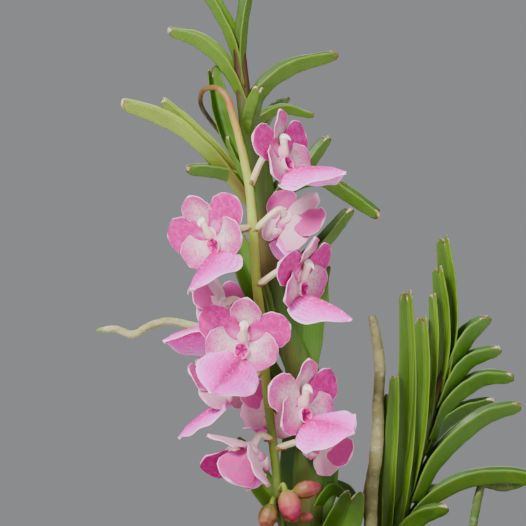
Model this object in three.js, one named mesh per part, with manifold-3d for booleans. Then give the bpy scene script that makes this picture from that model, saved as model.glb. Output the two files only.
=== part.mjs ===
// A small monopodial orchid in flower, potted in bark: a main shoot with its hanging flower stalk,
// a side shoot and free aerial roots, in a plain terracotta pot.
// Millimetres, +Z up. The origin is the centre of the pot's foot, and the blooms face -Y.
import * as THREE from 'three';
import { mergeVertices } from 'three/addons/utils/BufferGeometryUtils.js';
import Module from 'manifold-3d';

const wasm = await Module();
wasm.setup();

// Driving dimensions

const GAP = 0.3;

const POT_HEIGHT = 92;
const POT_TOP_RADIUS = 54;
const POT_FOOT_RADIUS = 37;
const POT_WALL = 4.5;
const POT_FLOOR = 6;
const RIM_HEIGHT = 18;
const RIM_STEP = 2.5;
const POT_SIDES = 32;
const DRAIN_HOLES = 3;
const DRAIN_HOLE_RADIUS = 5;
const DRAIN_CIRCLE_RADIUS = 18;

const MEDIUM_TOP = 83;
const CHIP_COUNT = 24;
const CHIP_SIZE = 12;
const HOLE_CLEARANCE = 0.9;

const LEAF_ARM = 4.3;
const LEAF_FOLD = 60;
const LEAF_KEEL = 1.7;
const LEAF_STATIONS = 6;

const PETAL_LENGTH = 11.3;
const PETAL_WIDTH = 9.4;
const DORSAL_LENGTH = 10.1;
const DORSAL_WIDTH = 7.8;
const LATERAL_LENGTH = 9.7;
const LATERAL_WIDTH = 9.8;
const BLADE_THICKNESS = 1.2;
const LIP_LENGTH = 17;
const LIP_WIDTH = 15.5;
const LIP_DROP = 5.4;
const LIP_BASE = [0, -4.7, 2.3];
const HUB_RADIUS = 2.2;
const COLUMN_RADIUS = 1.15;
const SMALLEST_FACET = 0.05;
const PEDICEL_RADIUS = 0.8;
const BUD_STALK_RADIUS = 0.6;

const MATERIALS = {
  pot_terracotta: { color: 0xb5673f, roughness: 0.9 },
  potting_bark: { color: 0x4a3323, roughness: 0.95 },
  leaf_green: { color: 0x5f9438, roughness: 0.5 },
  stalk_green: { color: 0xa9b45a, roughness: 0.55 },
  petal_pink: { color: 0xd868ac, roughness: 0.6 },
  column_cream: { color: 0xf0e2c6, roughness: 0.5 },
  bud_pink: { color: 0xcf8a8c, roughness: 0.55 },
  root_velamen: { color: 0xc3c19c, roughness: 0.85 },
};

// Vector helpers

const V = (x, y, z) => new THREE.Vector3(x, y, z);
const radians = THREE.MathUtils.degToRad;
const lerp = THREE.MathUtils.lerp;
const route = (points) => new THREE.CatmullRomCurve3(points.map((p) => V(...p)));

// An orthonormal frame at a point of a path: side and channel are square to the path.
function frameAt(curve, t, channel) {
  const tangent = curve.getTangent(t);
  const side = tangent.clone().cross(channel).normalize();
  return { origin: curve.getPoint(t), tangent, side, channel: side.clone().cross(tangent).normalize() };
}

const offset = (frame, a, b, along = 0) => frame.origin.clone()
  .addScaledVector(frame.side, a)
  .addScaledVector(frame.channel, b)
  .addScaledVector(frame.tangent, along);

// Closed bodies from points and triangles

function signedVolume(points, index) {
  let volume = 0;
  for (let i = 0; i < index.length; i += 3) {
    const [a, b, c] = [points[index[i]], points[index[i + 1]], points[index[i + 2]]];
    volume += a.dot(b.clone().cross(c));
  }
  return volume;
}

// The solid with its faces pointing out, whichever way round its triangles were listed.
function solid(points, index) {
  const outward = signedVolume(points, index) > 0 ? index : [...index].reverse();
  return new wasm.Manifold(new wasm.Mesh({
    numProp: 3,
    vertProperties: new Float32Array(points.flatMap((p) => [p.x, p.y, p.z])),
    triVerts: new Uint32Array(outward),
  }));
}

function solidOfGeometry(geometry) {
  geometry.deleteAttribute('normal');
  geometry.deleteAttribute('uv');
  const merged = mergeVertices(geometry, 1e-4);
  const { position } = merged.attributes;
  const points = Array.from({ length: position.count }, (_, i) => V().fromBufferAttribute(position, i));
  return solid(points, [...merged.index.array]);
}

// A body through rings with the same number of points, closed by a fan at each end.
function loft(rings) {
  const sides = rings[0].length;
  const last = (rings.length - 1) * sides;
  const index = [];
  for (let start = 0; start < last; start += sides) {
    for (let i = 0; i < sides; i += 1) {
      const a = start + i;
      const b = start + (i + 1) % sides;
      index.push(a, b, b + sides, a, b + sides, a + sides);
    }
  }
  for (let i = 1; i + 1 < sides; i += 1) {
    index.push(0, i + 1, i, last, last + i, last + i + 1);
  }
  return solid(rings.flat(), index);
}

// A blade with a thin rim: its two faces share the grid's outer points and split along the same diagonals.
function blade(front, back) {
  const rows = front.length;
  const columns = front[0].length;
  const points = [...front.flat()];
  const behind = front.map((row, r) => row.map((_, c) => {
    const inside = r > 0 && r < rows - 1 && c > 0 && c < columns - 1;
    return inside ? points.push(back[r][c]) - 1 : r * columns + c;
  }));
  const index = [];
  for (let r = 0; r + 1 < rows; r += 1) {
    for (let c = 0; c + 1 < columns; c += 1) {
      const a = r * columns + c;
      const d = a + columns;
      index.push(a, a + 1, d + 1, a, d + 1, d);
      const [p, q, s, t] = [behind[r][c], behind[r][c + 1], behind[r + 1][c + 1], behind[r + 1][c]];
      index.push(p, s, q, p, t, s);
    }
  }
  return solid(points, index);
}

// A round or oval body along a path; radii holds one radius, or [side, depth], for each even step of it.
function tube(points, radii, sides, channel = V(0.05, -1, 0.1)) {
  const curve = route(points);
  const rings = radii.map((radius, i) => {
    const [wide, deep] = [radius].flat().length === 2 ? radius : [radius, radius];
    const frame = frameAt(curve, i / (radii.length - 1), channel);
    return Array.from({ length: sides }, (_, k) => {
      const angle = 2 * Math.PI * k / sides;
      return offset(frame, wide * Math.cos(angle), deep * Math.sin(angle));
    });
  });
  return loft(rings);
}

// Even steps of a radius that eases from one value to another.
const steps = (from, to, count) => Array.from({ length: count }, (_, i) => lerp(from, to, i / (count - 1)));

const join = (solids) => solids.reduce((whole, next) => whole.add(next));

const plant = new THREE.Group();

function place(name, whole, slot) {
  const { vertProperties, triVerts, numProp } = whole.getMesh();
  const geometry = new THREE.BufferGeometry();
  const positions = new Float32Array(vertProperties.length / numProp * 3);
  for (let i = 0; i < positions.length / 3; i += 1) {
    positions.set(vertProperties.subarray(i * numProp, i * numProp + 3), i * 3);
  }
  geometry.setAttribute('position', new THREE.BufferAttribute(positions, 3));
  geometry.setIndex(new THREE.BufferAttribute(triVerts.slice(), 1));
  geometry.computeVertexNormals();
  const mesh = new THREE.Mesh(geometry, new THREE.MeshStandardMaterial(MATERIALS[slot]));
  mesh.name = name;
  plant.add(mesh);
}

// Pot: a tapered wall under a stepped rim, with drain holes beside the solid centre of its floor

const potRadiusAt = (z) => lerp(POT_FOOT_RADIUS, POT_TOP_RADIUS, z / POT_HEIGHT);

const lathe = (profile, sides) => solidOfGeometry(
  new THREE.LatheGeometry(profile.map(([r, z]) => new THREE.Vector2(r, z)), sides).rotateX(Math.PI / 2),
);

function uprightCylinder(radius, x, y, bottom, top, sides = 12) {
  const geometry = new THREE.CylinderGeometry(radius, radius, top - bottom, sides).rotateX(Math.PI / 2);
  return solidOfGeometry(geometry.translate(x, y, (bottom + top) / 2));
}

function buildPot() {
  const rimBottom = POT_HEIGHT - RIM_HEIGHT;
  let pot = lathe([
    [0, 0],
    [POT_FOOT_RADIUS - 1, 0],
    [POT_FOOT_RADIUS, 1.5],
    [potRadiusAt(rimBottom), rimBottom],
    [potRadiusAt(rimBottom) + RIM_STEP, rimBottom + 1],
    [POT_TOP_RADIUS + RIM_STEP, POT_HEIGHT - 1.5],
    [POT_TOP_RADIUS + RIM_STEP - 1.5, POT_HEIGHT],
    [POT_TOP_RADIUS - POT_WALL + 1, POT_HEIGHT],
    [POT_TOP_RADIUS - POT_WALL, POT_HEIGHT - 2],
    [potRadiusAt(POT_FLOOR) - POT_WALL, POT_FLOOR],
    [0, POT_FLOOR],
  ], POT_SIDES);
  for (let i = 0; i < DRAIN_HOLES; i += 1) {
    const angle = 2 * Math.PI * (i + 0.25) / DRAIN_HOLES;
    const [x, y] = [DRAIN_CIRCLE_RADIUS * Math.cos(angle), DRAIN_CIRCLE_RADIUS * Math.sin(angle)];
    pot = pot.subtract(uprightCylinder(DRAIN_HOLE_RADIUS, x, y, -1, POT_FLOOR + 1));
  }
  place('pot', pot, 'pot_terracotta');
}

// Routes of the shoots, the flower stalk and the roots

const MAIN_STEM = [
  [-21, 0, 228], [-20, 0, 217], [-18, 0, 207], [-15, 0, 189.5], [-12, 0, 165], [-8.5, 0, 155],
  [-5, 0, 146], [-3.5, 0, 130], [-4, 0, 112], [-5, 0, 92], [-6, 0, 76],
];
const MAIN_STEM_RADII = [
  [1.5, 1.2], [1.8, 1.5], [2.6, 2], [3.3, 2.2], [3.5, 2.4], [3.8, 2.6],
  [4, 2.8], [4.4, 3], [4.8, 3.2], [5, 3.4], [4.2, 3.2], [3.6, 3],
];

const SECOND_STEM = [
  [31, 4, 148], [28, 4, 138], [25, 4, 128.5], [21.5, 4, 118], [19, 4, 108], [16, 4, 94], [14, 4, 76],
];
const SECOND_STEM_RADII = [1.2, 1.6, 2, 2.2, 2.4, 2.7, 2.8, 2.6];

const TO_VIEWER = [-0.5, -1, 0];

// Each leaf runs from inside its stem to its tip. arm is the width of one half of the folded blade, fold its
// angle above flat, and channel the way the groove opens.
const MAIN_LEAVES = [
  { path: [[-20, 0, 218], [-22, 0.5, 228], [-25.5, 1, 236], [-32.6, 2, 246.5], [-46.7, 4, 261.2]], arm: 4,
    channel: [1, -0.5, 0.6] },
  { path: [[-20, 0, 218], [-20.4, -0.5, 228], [-19.3, -1, 238], [-16.3, 0, 251], [-10, 1, 261.5]], arm: 3.5,
    channel: [-1, -0.6, 0.3] },
  { path: [[-19, 0, 213], [-22.6, 0, 220.8], [-26.6, 0, 226.2], [-31.6, 0.5, 230], [-38.2, 1, 232]],
    arm: 4.4 },
  { path: [[-19, 0, 210], [-17, 0, 214.8], [-14, 0, 218.8], [-8, 1, 223], [2.8, 2, 226]], arm: 4.8 },
  { path: [[-19, 1, 198], [-23.4, 2, 204.5], [-26, 3, 212], [-28, 4, 222.2]], arm: 5, channel: [0.4, -1, 0] },
  { path: [[-16.8, 0, 187], [-24.8, 0, 197.6], [-32.8, 0, 205.7], [-40.8, 0.5, 210.5], [-49.8, 1, 213.6]],
    arm: 4.9 },
  { path: [[-19.2, 1, 193.2], [-26, 2, 201.1], [-33, 3, 208], [-40.2, 4, 214.4]], arm: 3.4 },
  { path: [[-16, 0, 191.5], [-21, 0, 195], [-27, 0, 196.8], [-33.4, 0.5, 197.2]] },
  { path: [[-17, -1, 190], [-20, -3.5, 196], [-22.5, -4, 201], [-24, -4, 205]], arm: 2 },
  { path: [[-18, -1, 205], [-18, -5, 209], [-17, -9, 213], [-16, -12, 217]], arm: 3, fold: 40 },
  { path: [[-18, 0, 206], [-15, 0, 210.5], [-10, 1, 212.5], [-3, 2, 211]], arm: 3 },
  { path: [[-17, 2, 205], [-14, 5, 209.5], [-11.5, 8, 213], [-9, 10, 215]], arm: 3 },
  { path: [[-15, 1, 186.5], [-10, 3, 193], [-4.7, 4, 197.3], [1.1, 5, 204.7]], channel: [-1, -0.5, 0.5] },
  { path: [[-15, 1, 185], [-8, 4, 193], [-1, 5, 195.2], [6, 5, 191.2], [13.5, 4, 186]], arm: 4.5 },
  { path: [[-13, 1, 167.5], [-6, 4, 172.5], [0.4, 5, 178.7], [6.9, 6, 186.6]], channel: [-1, -0.5, 0.5] },
  { path: [[-10, -1, 153], [-12.5, -3, 159.5], [-14, -4, 165], [-15, -4.5, 169]], arm: 2,
    channel: [1, -1, 0] },
  { path: [[-11.5, 1, 156], [-14.1, 3, 161.5], [-17.7, 4, 168.5], [-22.4, 5, 180.5]], fold: 35,
    channel: [0.2, -1, 0.2] },
  { path: [[-4.6, 0, 139], [-5.3, -1, 150], [-5, -1.5, 159], [-3, -2, 166.5], [1, -2.5, 173]], arm: 5.6,
    fold: 12, tip: 0.22, channel: [0, -1, 0] },
  { path: [[-6, 2, 135], [-10, 4, 141.5], [-14, 5, 147.5], [-18, 6, 156.5]], channel: [0.4, -1, 0.3] },
  { path: [[-4.5, 0, 102.5], [-4, -1, 112], [-3.5, -1.5, 121], [-2.5, -2, 131], [-0.5, -3, 141]], arm: 7.6,
    fold: 12, tip: 0.22, channel: [0, -1, 0] },
  { path: [[-6, 3, 103], [-11, 5, 111.5], [-16, 6, 118], [-22, 7, 128]], fold: 35, channel: [0.3, -1, 0.3] },
  { path: [[-4, 0, 103], [-1, -1, 112], [3, -2, 117], [6, -3, 115], [7.8, -4, 108.5]] },
  { path: [[-2, -1, 93], [1.5, -4, 102], [5, -7, 109], [7.6, -8.5, 115.8]], arm: 5.4, fold: 35,
    channel: [0.3, -1, 0.3] },
  { path: [[-6, 0, 92], [-11, -1, 99], [-21, -3, 100.5], [-31, -6, 96]] },
  { path: [[-5, -2, 92], [-2, -9, 99.5], [3, -17, 100], [7, -24, 97]] },
];

const SECOND_LEAVES = [
  { path: [[31, 4, 145], [32.7, 3.5, 157], [32.4, 3, 168], [30.9, 2.5, 179.5]], arm: 5, channel: TO_VIEWER },
  { path: [[29.5, 4, 141], [31, 2, 153], [30.7, 0.5, 163], [29.4, 0, 172]], arm: 4.2, channel: TO_VIEWER },
  { path: [[27, 4, 133], [28, 1, 145], [28.5, -1, 156], [28, -1.5, 165.5]], arm: 2.8, channel: TO_VIEWER },
  { path: [[22, 4, 116], [24, 1, 126], [25.3, -1.5, 138], [25.7, -2.5, 149.5], [25.3, -3, 159.5]], arm: 4.6,
    channel: TO_VIEWER },
  { path: [[19, 4, 106], [20.4, 1.5, 117], [21.8, 0.5, 131], [22.2, -0.5, 148], [21.5, -1, 165.8]], arm: 5,
    channel: TO_VIEWER },
  { path: [[16.5, 4, 96], [16.6, 1.5, 106], [17.4, -1, 120], [18.2, -2, 134], [18.5, -2, 145]], arm: 3.6,
    channel: TO_VIEWER },
  { path: [[15.8, 4, 93], [15.2, 4, 103], [16, 3, 117], [16.7, 2.3, 131], [16.9, 2, 140.4]], arm: 2.9,
    channel: TO_VIEWER },
  { path: [[15.5, 4, 91], [14.2, 2.4, 101], [14.2, 1.4, 112], [14.7, 1.4, 128.5]], arm: 3.6,
    channel: TO_VIEWER },
  { path: [[31, 4, 144], [33.5, 4, 150], [37, 4, 155.6], [41.3, 4, 159.2]], arm: 5.4 },
  { path: [[29.5, 4, 137], [32.5, 4, 143.5], [37, 4, 149], [44, 4, 151.5]], arm: 5 },
  { path: [[27.5, 4, 129], [31, 4, 137], [36, 4, 142], [41, 4, 144.6], [47.2, 4, 144.7]], arm: 5 },
  { path: [[26, 5, 125], [29.5, 6, 131.5], [35, 7, 136], [42.5, 8, 138.4]], arm: 4.6 },
  { path: [[23.5, 4, 113], [28, 3, 122.8], [35, 2, 130.5], [42, 2, 135.4], [49, 2, 137.3]], arm: 5.3 },
  { path: [[20, 4, 104.6], [26, 3, 112.8], [35, 2, 118.4], [44, 2, 120], [52, 2, 119.2], [59, 2, 115]],
    arm: 4.8 },
  { path: [[18, 3, 99], [21, 0, 105.5], [25, -2, 110], [30.5, -3, 111.8]], arm: 5.2 },
  { path: [[17, 3, 94], [22, 0, 101], [29, -3, 102.5], [38, -6, 99]] },
];

const STALK = [
  [-17.5, 3.6, 200], [-21, 7, 203.2], [-25, 8, 206], [-28.4, 6.5, 210], [-30.7, -1, 214], [-30, -6, 217],
  [-26.5, -10, 217.5], [-24, -11.5, 215], [-22.5, -12, 210.5], [-20.5, -12.5, 203], [-18.5, -13, 193],
  [-17.5, -13.5, 181.5], [-16.5, -14, 168], [-15.2, -14, 156], [-14, -14, 142], [-13, -14, 133],
  [-12, -14, 124.5], [-11, -13.5, 114.5], [-10, -13, 105],
];
const STALK_RADII = [...steps(0.55, 0.6, 7), ...steps(0.75, 1.2, 7), ...steps(1.2, 1.1, 7), 0.7];

const ROOTS = {
  aerial_root_left: { points: [
    [-11.5, 4, 154], [-18, 9.5, 154.4], [-25, 11, 156.2], [-33, 10, 157.8], [-39, 9.5, 159], [-44, 9, 157.7],
    [-48, 8.5, 155.6], [-52.5, 8, 157], [-57.3, 7, 156.6],
  ], radii: [...steps(0.95, 0.95, 11), 0.8, 0.45] },
  aerial_root_right: { points: [
    [12.5, 2, 160.5], [13.5, 2, 155.7], [14.5, 1, 147.5], [14, 0, 138], [14, -2.3, 133],
    [13.3, -3.7, 124.5], [12.1, -4.4, 116.5], [12, -5.4, 108], [12.5, -7, 97], [12, -8, 76],
  ], radii: [0.9, 1.25, 1.35, 1.4, 1.45, 1.5, 1.6, 1.7, 1.8, 1.8, 1.6, 1.4, 1.3] },
  aerial_root_far_right: { points: [
    [22.5, 9.5, 117], [29, 11.5, 116.5], [39, 11.5, 118], [48, 10.5, 120], [52, 8, 119.5], [50, 5.5, 118],
    [46, 5, 117], [43, 5, 117.5], [40.7, 5, 117.8], [39.6, 5, 115], [38.3, 5, 108], [37, 5, 98],
    [36, 4, 76],
  ], radii: steps(1.1, 1.1, 18) },
  aerial_root_front: { points: [
    [-6.5, -3.8, 99], [-9, -10, 98], [-12, -15, 90], [-13, -17, 76],
  ], radii: steps(1.1, 1.2, 6) },
  aerial_root_back: { points: [
    [16, 7.2, 98], [12, 14, 98], [8, 19, 90], [7, 21, 76],
  ], radii: steps(1.1, 1.2, 6) },
};

// Growing medium: it fills the pot, with chips bedded in its top and a plain hole round each stem and root

let seed = 5469;
function random() {
  seed = (seed * 1664525 + 1013904223) % 4294967296;
  return seed / 4294967296;
}

function chip(radius, angle) {
  const [length, width, height] = [1, 0.72, 0.5].map((part) => CHIP_SIZE * part * lerp(0.75, 1.2, random()));
  const geometry = new THREE.BoxGeometry(length, width, height);
  geometry.rotateX(lerp(-0.45, 0.45, random()));
  geometry.rotateY(lerp(-0.35, 0.35, random()));
  geometry.rotateZ(Math.PI * random());
  const lift = MEDIUM_TOP + lerp(-0.8, 0.9, random());
  return solidOfGeometry(geometry.translate(radius * Math.cos(angle), radius * Math.sin(angle), lift));
}

// Cuts the hole that a tube leaves the medium by, straight up from its lowest point.
function holeFor(points, radius) {
  const [x, y, z] = points.at(-1);
  const [above] = points.slice(-2);
  const lean = (axis) => above[axis] + (above[axis] - points.at(-1)[axis]) * 0.15;
  const bottom = [x, y, z - HOLE_CLEARANCE];
  return tube([bottom, [lean(0), lean(1), above[2] + 3]], steps(radius, radius, 2), 10);
}

function buildMedium() {
  const innerAt = (z) => {
    const rise = (z - POT_FLOOR) / (POT_HEIGHT - 2 - POT_FLOOR);
    return lerp(potRadiusAt(POT_FLOOR), POT_TOP_RADIUS, rise) - POT_WALL - GAP;
  };
  const floor = POT_FLOOR + GAP;
  let medium = lathe([[0, floor], [innerAt(floor) - 0.2, floor], [innerAt(MEDIUM_TOP - 2), MEDIUM_TOP - 2],
    [0, MEDIUM_TOP]], POT_SIDES);
  const goldenAngle = Math.PI * (3 - Math.sqrt(5));
  const reach = innerAt(MEDIUM_TOP) - CHIP_SIZE * 0.72;
  for (let i = 0; i < CHIP_COUNT; i += 1) {
    medium = medium.add(chip(reach * Math.sqrt((i + 0.5) / CHIP_COUNT), i * goldenAngle));
  }
  medium = medium.subtract(holeFor(MAIN_STEM, MAIN_STEM_RADII.at(-2)[0] + HOLE_CLEARANCE));
  medium = medium.subtract(holeFor(SECOND_STEM, SECOND_STEM_RADII.at(-2) + HOLE_CLEARANCE));
  for (const [name, root] of Object.entries(ROOTS)) {
    if (name !== 'aerial_root_left') {
      medium = medium.subtract(holeFor(root.points, root.radii.at(-1) + HOLE_CLEARANCE));
    }
  }
  place('growing_medium', medium, 'potting_bark');
}

// Leaves: thick straps folded along the keel, with two unequal lobes at the tip

function leaf({ path, arm = LEAF_ARM, fold = LEAF_FOLD, tip = 0.72, channel = [0, -0.15, 1] }) {
  const curve = route(path);
  const rings = [];
  for (let i = 0; i < LEAF_STATIONS; i += 1) {
    const t = i / (LEAF_STATIONS - 1);
    const frame = frameAt(curve, t, V(...channel));
    const width = arm * lerp(0.72, 1, Math.min(1, t * 3)) * lerp(1, tip, Math.max(0, t - 0.72) / 0.28);
    const angle = radians(lerp(Math.max(fold, 55), fold, Math.min(1, t * 2.5)));
    const [c, s] = [Math.cos(angle), Math.sin(angle)];
    const groove = Math.min(LEAF_KEEL / c, width * s * 0.8);
    const lobe = i === LEAF_STATIONS - 1 ? arm * 0.4 * tip : 0;
    const keel = -width * s * 0.5;
    rings.push([
      offset(frame, 0, keel),
      offset(frame, width * c, keel + width * s, lobe * 0.8),
      offset(frame, 0, keel + groove, -lobe),
      offset(frame, -width * c, keel + width * s, lobe * 0.4),
    ]);
  }
  return loft(rings);
}

const buildShoot = (name, stem, radii, leaves) => place(
  name,
  join([tube(stem, radii, 8), ...leaves.map(leaf)]),
  'leaf_green',
);

// Blooms. yaw turns a bloom from facing -Y towards +X, pitch lifts its face, and roll leans its top sepal
// clockwise; lipYaw, lipPitch and lipRoll do the same to the lip. cup closes the sepals and petals forward,
// twist swings the top and left sepals aside, and lipDrop is the share of the lip's droop at its sides.

const BLOOMS = [
  { at: [-11.1, -17, 201.15], yaw: 55, pitch: 7, roll: -4, twist: 12, lipPitch: -6, from: [-18, -13, 193.5] },
  { at: [-27.6, -20, 181.3], yaw: -28, pitch: -12, roll: -25, lipYaw: -6, lipPitch: -16, lipSize: 1.04,
    from: [-17.6, -13.4, 182.5] },
  { at: [-9, -11.5, 185], yaw: 142, pitch: -35, roll: -25, lipYaw: -30, lipSize: 0.85, size: 0.93,
    from: [-17.5, -13.5, 181.5] },
  { at: [-6.2, -20.2, 171.1], yaw: 58, pitch: -20, roll: -8, twist: 12, lipYaw: -3, lipPitch: 1.5,
    lipSize: 0.95, from: [-16.6, -14, 168] },
  { at: [-19.7, -22, 155.7], yaw: -8, pitch: -16, roll: 8, lipYaw: -15, lipPitch: -14, lipRoll: 16,
    lipDrop: 0.4, lipSize: 1.04, from: [-15, -14, 154] },
  { at: [-25, -3.3, 163.4], yaw: -126, pitch: -20, roll: -4, size: 0.92, lipYaw: 56, lipPitch: -9,
    lipSize: 1.05, from: [-15.5, -14, 160] },
  { at: [-25.2, -7.4, 143.9], yaw: -126, pitch: -38, size: 0.88, lipYaw: 16, lipPitch: 2, lipRoll: 22,
    lipDrop: 0.55, lipSize: 1.05, from: [-14.4, -14, 146] },
  { at: [-12.6, -10.2, 137.2], yaw: -174, pitch: -12, roll: -22, lipYaw: 8, lipSize: 0.74, size: 0.8,
    from: [-13.8, -14, 139.5] },
  { at: [-6, -20, 139.6], yaw: 46, pitch: -9, roll: -4, size: 1.04, twist: 9, lipYaw: -5, lipPitch: 5,
    lipRoll: -34, lipDrop: 0.5, from: [-13.5, -14, 138] },
  { at: [-0.3, -11.5, 129], yaw: 140, pitch: -20, roll: -40, lipSize: 0.45, size: 0.85,
    from: [-12, -14, 127.5] },
  { at: [-18.2, -17.5, 127.4], yaw: -76, pitch: -54, roll: 12, size: 1.13, lipSize: 0.32, cup: 58,
    from: [-12.6, -14, 129.5] },
];

// Half the width of a sepal or petal at t along it: narrow at its base, broad at widest, round at its end.
function tepalHalfWidth(t, { width, widest, foot = 0.3 }) {
  if (t < widest) return width / 2 * lerp(foot, 1, Math.sin(Math.PI / 2 * t / widest));
  return width / 2 * Math.sqrt(1 - 0.9 * ((t - widest) / (1 - widest)) ** 2);
}

// A point of a sepal or petal in the bloom's frame: x to its right, y up and z forward. twist swings its
// blade about its own length, and rise and drop bring the lower corner of its foot forward and down.
function tepalPoint(shape, t, v, lift) {
  const { angle, length, cup, curl, dish, layer, twist = 0, rise = 0, drop = 0 } = shape;
  const tilt = radians(cup + curl * t / 2);
  const normal = radians(cup + curl * t);
  const lean = radians(twist) * Math.min(1, 2.5 * t);
  const heel = (1 - t) ** 1.6 * (1 + Math.sign(angle) * v) / 2;
  const half = tepalHalfWidth(t, shape);
  const height = dish * half * v * v + lift;
  const turn = radians(angle);
  const out = 1 + length * t * Math.cos(tilt) - height * Math.sin(normal);
  const across = half * v * Math.cos(lean);
  const forward = layer + length * t * Math.sin(tilt) + height * Math.cos(normal);
  return V(
    out * Math.sin(turn) + across * Math.cos(turn),
    out * Math.cos(turn) - across * Math.sin(turn) - drop * heel,
    forward + rise * heel - half * v * Math.sin(lean) * Math.cos(turn),
  );
}

function grid(rowStops, columns, pointAt) {
  return rowStops.map((t) => Array.from({ length: columns + 1 }, (_, c) => pointAt(t, 2 * c / columns - 1)));
}

function tepal(shape) {
  const side = (lift) => grid([0, 0.34, 0.64, 0.86, 1], 2, (t, v) => (
    tepalPoint(shape, t, v, Math.abs(v) < 1 ? lift : 0)
  ));
  return blade(side(BLADE_THICKNESS / 2), side(-BLADE_THICKNESS / 2));
}

function lipHalfWidth(t, fullness) {
  const widest = 0.36;
  if (t < widest) return LIP_WIDTH / 2 * lerp(0.66, 1, Math.sin(Math.PI / 2 * t / widest));
  return LIP_WIDTH / 2 * (1 - 0.88 * ((t - widest) / (1 - widest)) ** fullness);
}

// The lip's middle lobe: a broad pointed blade that falls away on both sides of a ridge.
function lip({ lipYaw = 0, lipPitch = 0, lipRoll = 0, lipSize = 1, lipDrop = 1 }) {
  const [pitch, yaw, roll] = [-lipPitch, lipYaw, -lipRoll].map(radians);
  const turn = new THREE.Matrix4().makeRotationFromEuler(new THREE.Euler(pitch, yaw, roll))
    .scale(V(lipSize, lipSize, lipSize))
    .setPosition(...LIP_BASE);
  const side = (lift) => grid([0, 0.18, 0.36, 0.66, 0.88, 1], 2, (t, v) => {
    const half = lipHalfWidth(t, 2.6 - 0.7 * lipDrop);
    const fall = LIP_DROP * lipDrop * (1 - 0.5 * t) * half / (LIP_WIDTH / 2) * Math.abs(v) ** 1.3;
    const face = Math.abs(v) < 1 ? lift : 0;
    return V(half * v, face - fall - 1.2 * t ** 3, LIP_LENGTH * t).applyMatrix4(turn);
  });
  return blade(side(BLADE_THICKNESS / 2), side(-BLADE_THICKNESS / 2));
}

const bloomTube = (points, radii, sides) => tube(points, radii, sides, V(1, 0.02, 0));

// The column stands in front of the petals' feet and ends in a cap that leans forward.
function column(clearance) {
  const points = [[0, -1.4 - clearance, 1.7], [0, 0.8, 1.9], [0, 3.3, 2.1], [0, 4.4 + clearance, 2.9]];
  const radii = [0.75, 1, 0.95, 0.85, 1, 0.6].map((part) => COLUMN_RADIUS * part + clearance);
  return bloomTube(points, radii, 6);
}

function buildBloom(number, bloom) {
  const { at, yaw, pitch, roll = 0, cup = 8, twist = 0, size = 1 } = bloom;
  const petals = {
    length: PETAL_LENGTH, width: PETAL_WIDTH, widest: 0.62, cup, curl: -14, dish: 0.1, layer: 0.45,
  };
  const laterals = {
    length: LATERAL_LENGTH, width: LATERAL_WIDTH, widest: 0.55, cup: cup * 0.25 + 28.4, curl: -14, dish: 0.1,
    layer: -0.9, foot: 0.6, rise: 2.2, drop: 1.2,
  };
  const dorsal = {
    length: DORSAL_LENGTH, width: DORSAL_WIDTH, widest: 0.6, cup: cup * 0.1 + 12.4, curl: 8, dish: 0.22,
    layer: -0.55,
  };
  const hub = bloomTube([[0, 0, -1.4], [0, 0, 1.5]], [1, HUB_RADIUS, 2.1], 6);
  const foot = bloomTube([[0, -0.6, 0.2], [0, -3.6, 0.5]], [1.4, 1.5], 5);
  const throat = bloomTube([[0, -3.6, 0], [0, -3, 2.7]], [1.3, 1.8], 6);
  const spur = bloomTube([[0, -3.8, 0.2], [0, -6.6, 1.6]], [1.4, 0.6], 5);
  const perianth = join([
    hub,
    foot,
    throat,
    spur,
    tepal({ ...dorsal, angle: 0, twist }),
    ...[-68, 68].map((angle) => tepal({ ...petals, angle })),
    tepal({ ...laterals, angle: -120, twist }),
    tepal({ ...laterals, angle: 120 }),
    lip(bloom),
  ]);
  const [cy, sy] = [Math.cos(radians(yaw)), Math.sin(radians(yaw))];
  const [cp, sp] = [Math.cos(radians(pitch)), Math.sin(radians(pitch))];
  const face = V(sy * cp, -cy * cp, sp);
  const right = V(cy, sy, 0).applyAxisAngle(face, -radians(roll));
  const basis = new THREE.Matrix4().makeBasis(right, face.clone().cross(right), face);
  basis.scale(V(size, size, size)).setPosition(...at);
  const flower = perianth.subtract(column(GAP)).asOriginal().simplify(SMALLEST_FACET);
  place(`bloom_${number}_perianth`, flower.transform(basis.elements), 'petal_pink');
  place(`bloom_${number}_column`, column(0).transform(basis.elements), 'column_cream');
  return [4, 1.4 + GAP].map((distance) => V(...at).addScaledVector(face, -distance * size).toArray());
}

// Buds: closed ovals, each hanging from its own short stalk

const BUDS = [
  { from: [-11, -13.6, 117], base: [-9.5, -17, 117.2], tip: [-7, -18, 109.5], radius: 2.9 },
  { from: [-11, -13.5, 116], base: [-7.5, -12.5, 116.5], tip: [-0.5, -12, 118], radius: 2.3 },
  { from: [-10.8, -13.5, 113.5], base: [-12.8, -17, 113.8], tip: [-14.8, -18, 107.5], radius: 2.5 },
  { from: [-10.4, -13.2, 110], base: [-6.5, -11.5, 109.8], tip: [-2.5, -11, 110.5], radius: 1.5 },
  { from: [-10.2, -13.1, 107.5], base: [-12.8, -14.8, 104], tip: [-13.8, -15.1, 100.5], radius: 1.3 },
  { from: [-10, -13, 105.5], base: [-7.8, -14.8, 102], tip: [-6.8, -15.3, 98.5], radius: 1.2 },
];

function buildBud(number, { base, tip, radius }) {
  const curve = [base, V(...base).lerp(V(...tip), 0.5).toArray(), tip];
  const radii = [0.45, 0.88, 1, 0.8, 0.3].map((part) => radius * part);
  place(`bud_${number}`, tube(curve, radii, 7, V(0.9, 0.3, 0.2)), 'bud_pink');
}

// Flower stalk with its pedicels and bracts

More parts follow.
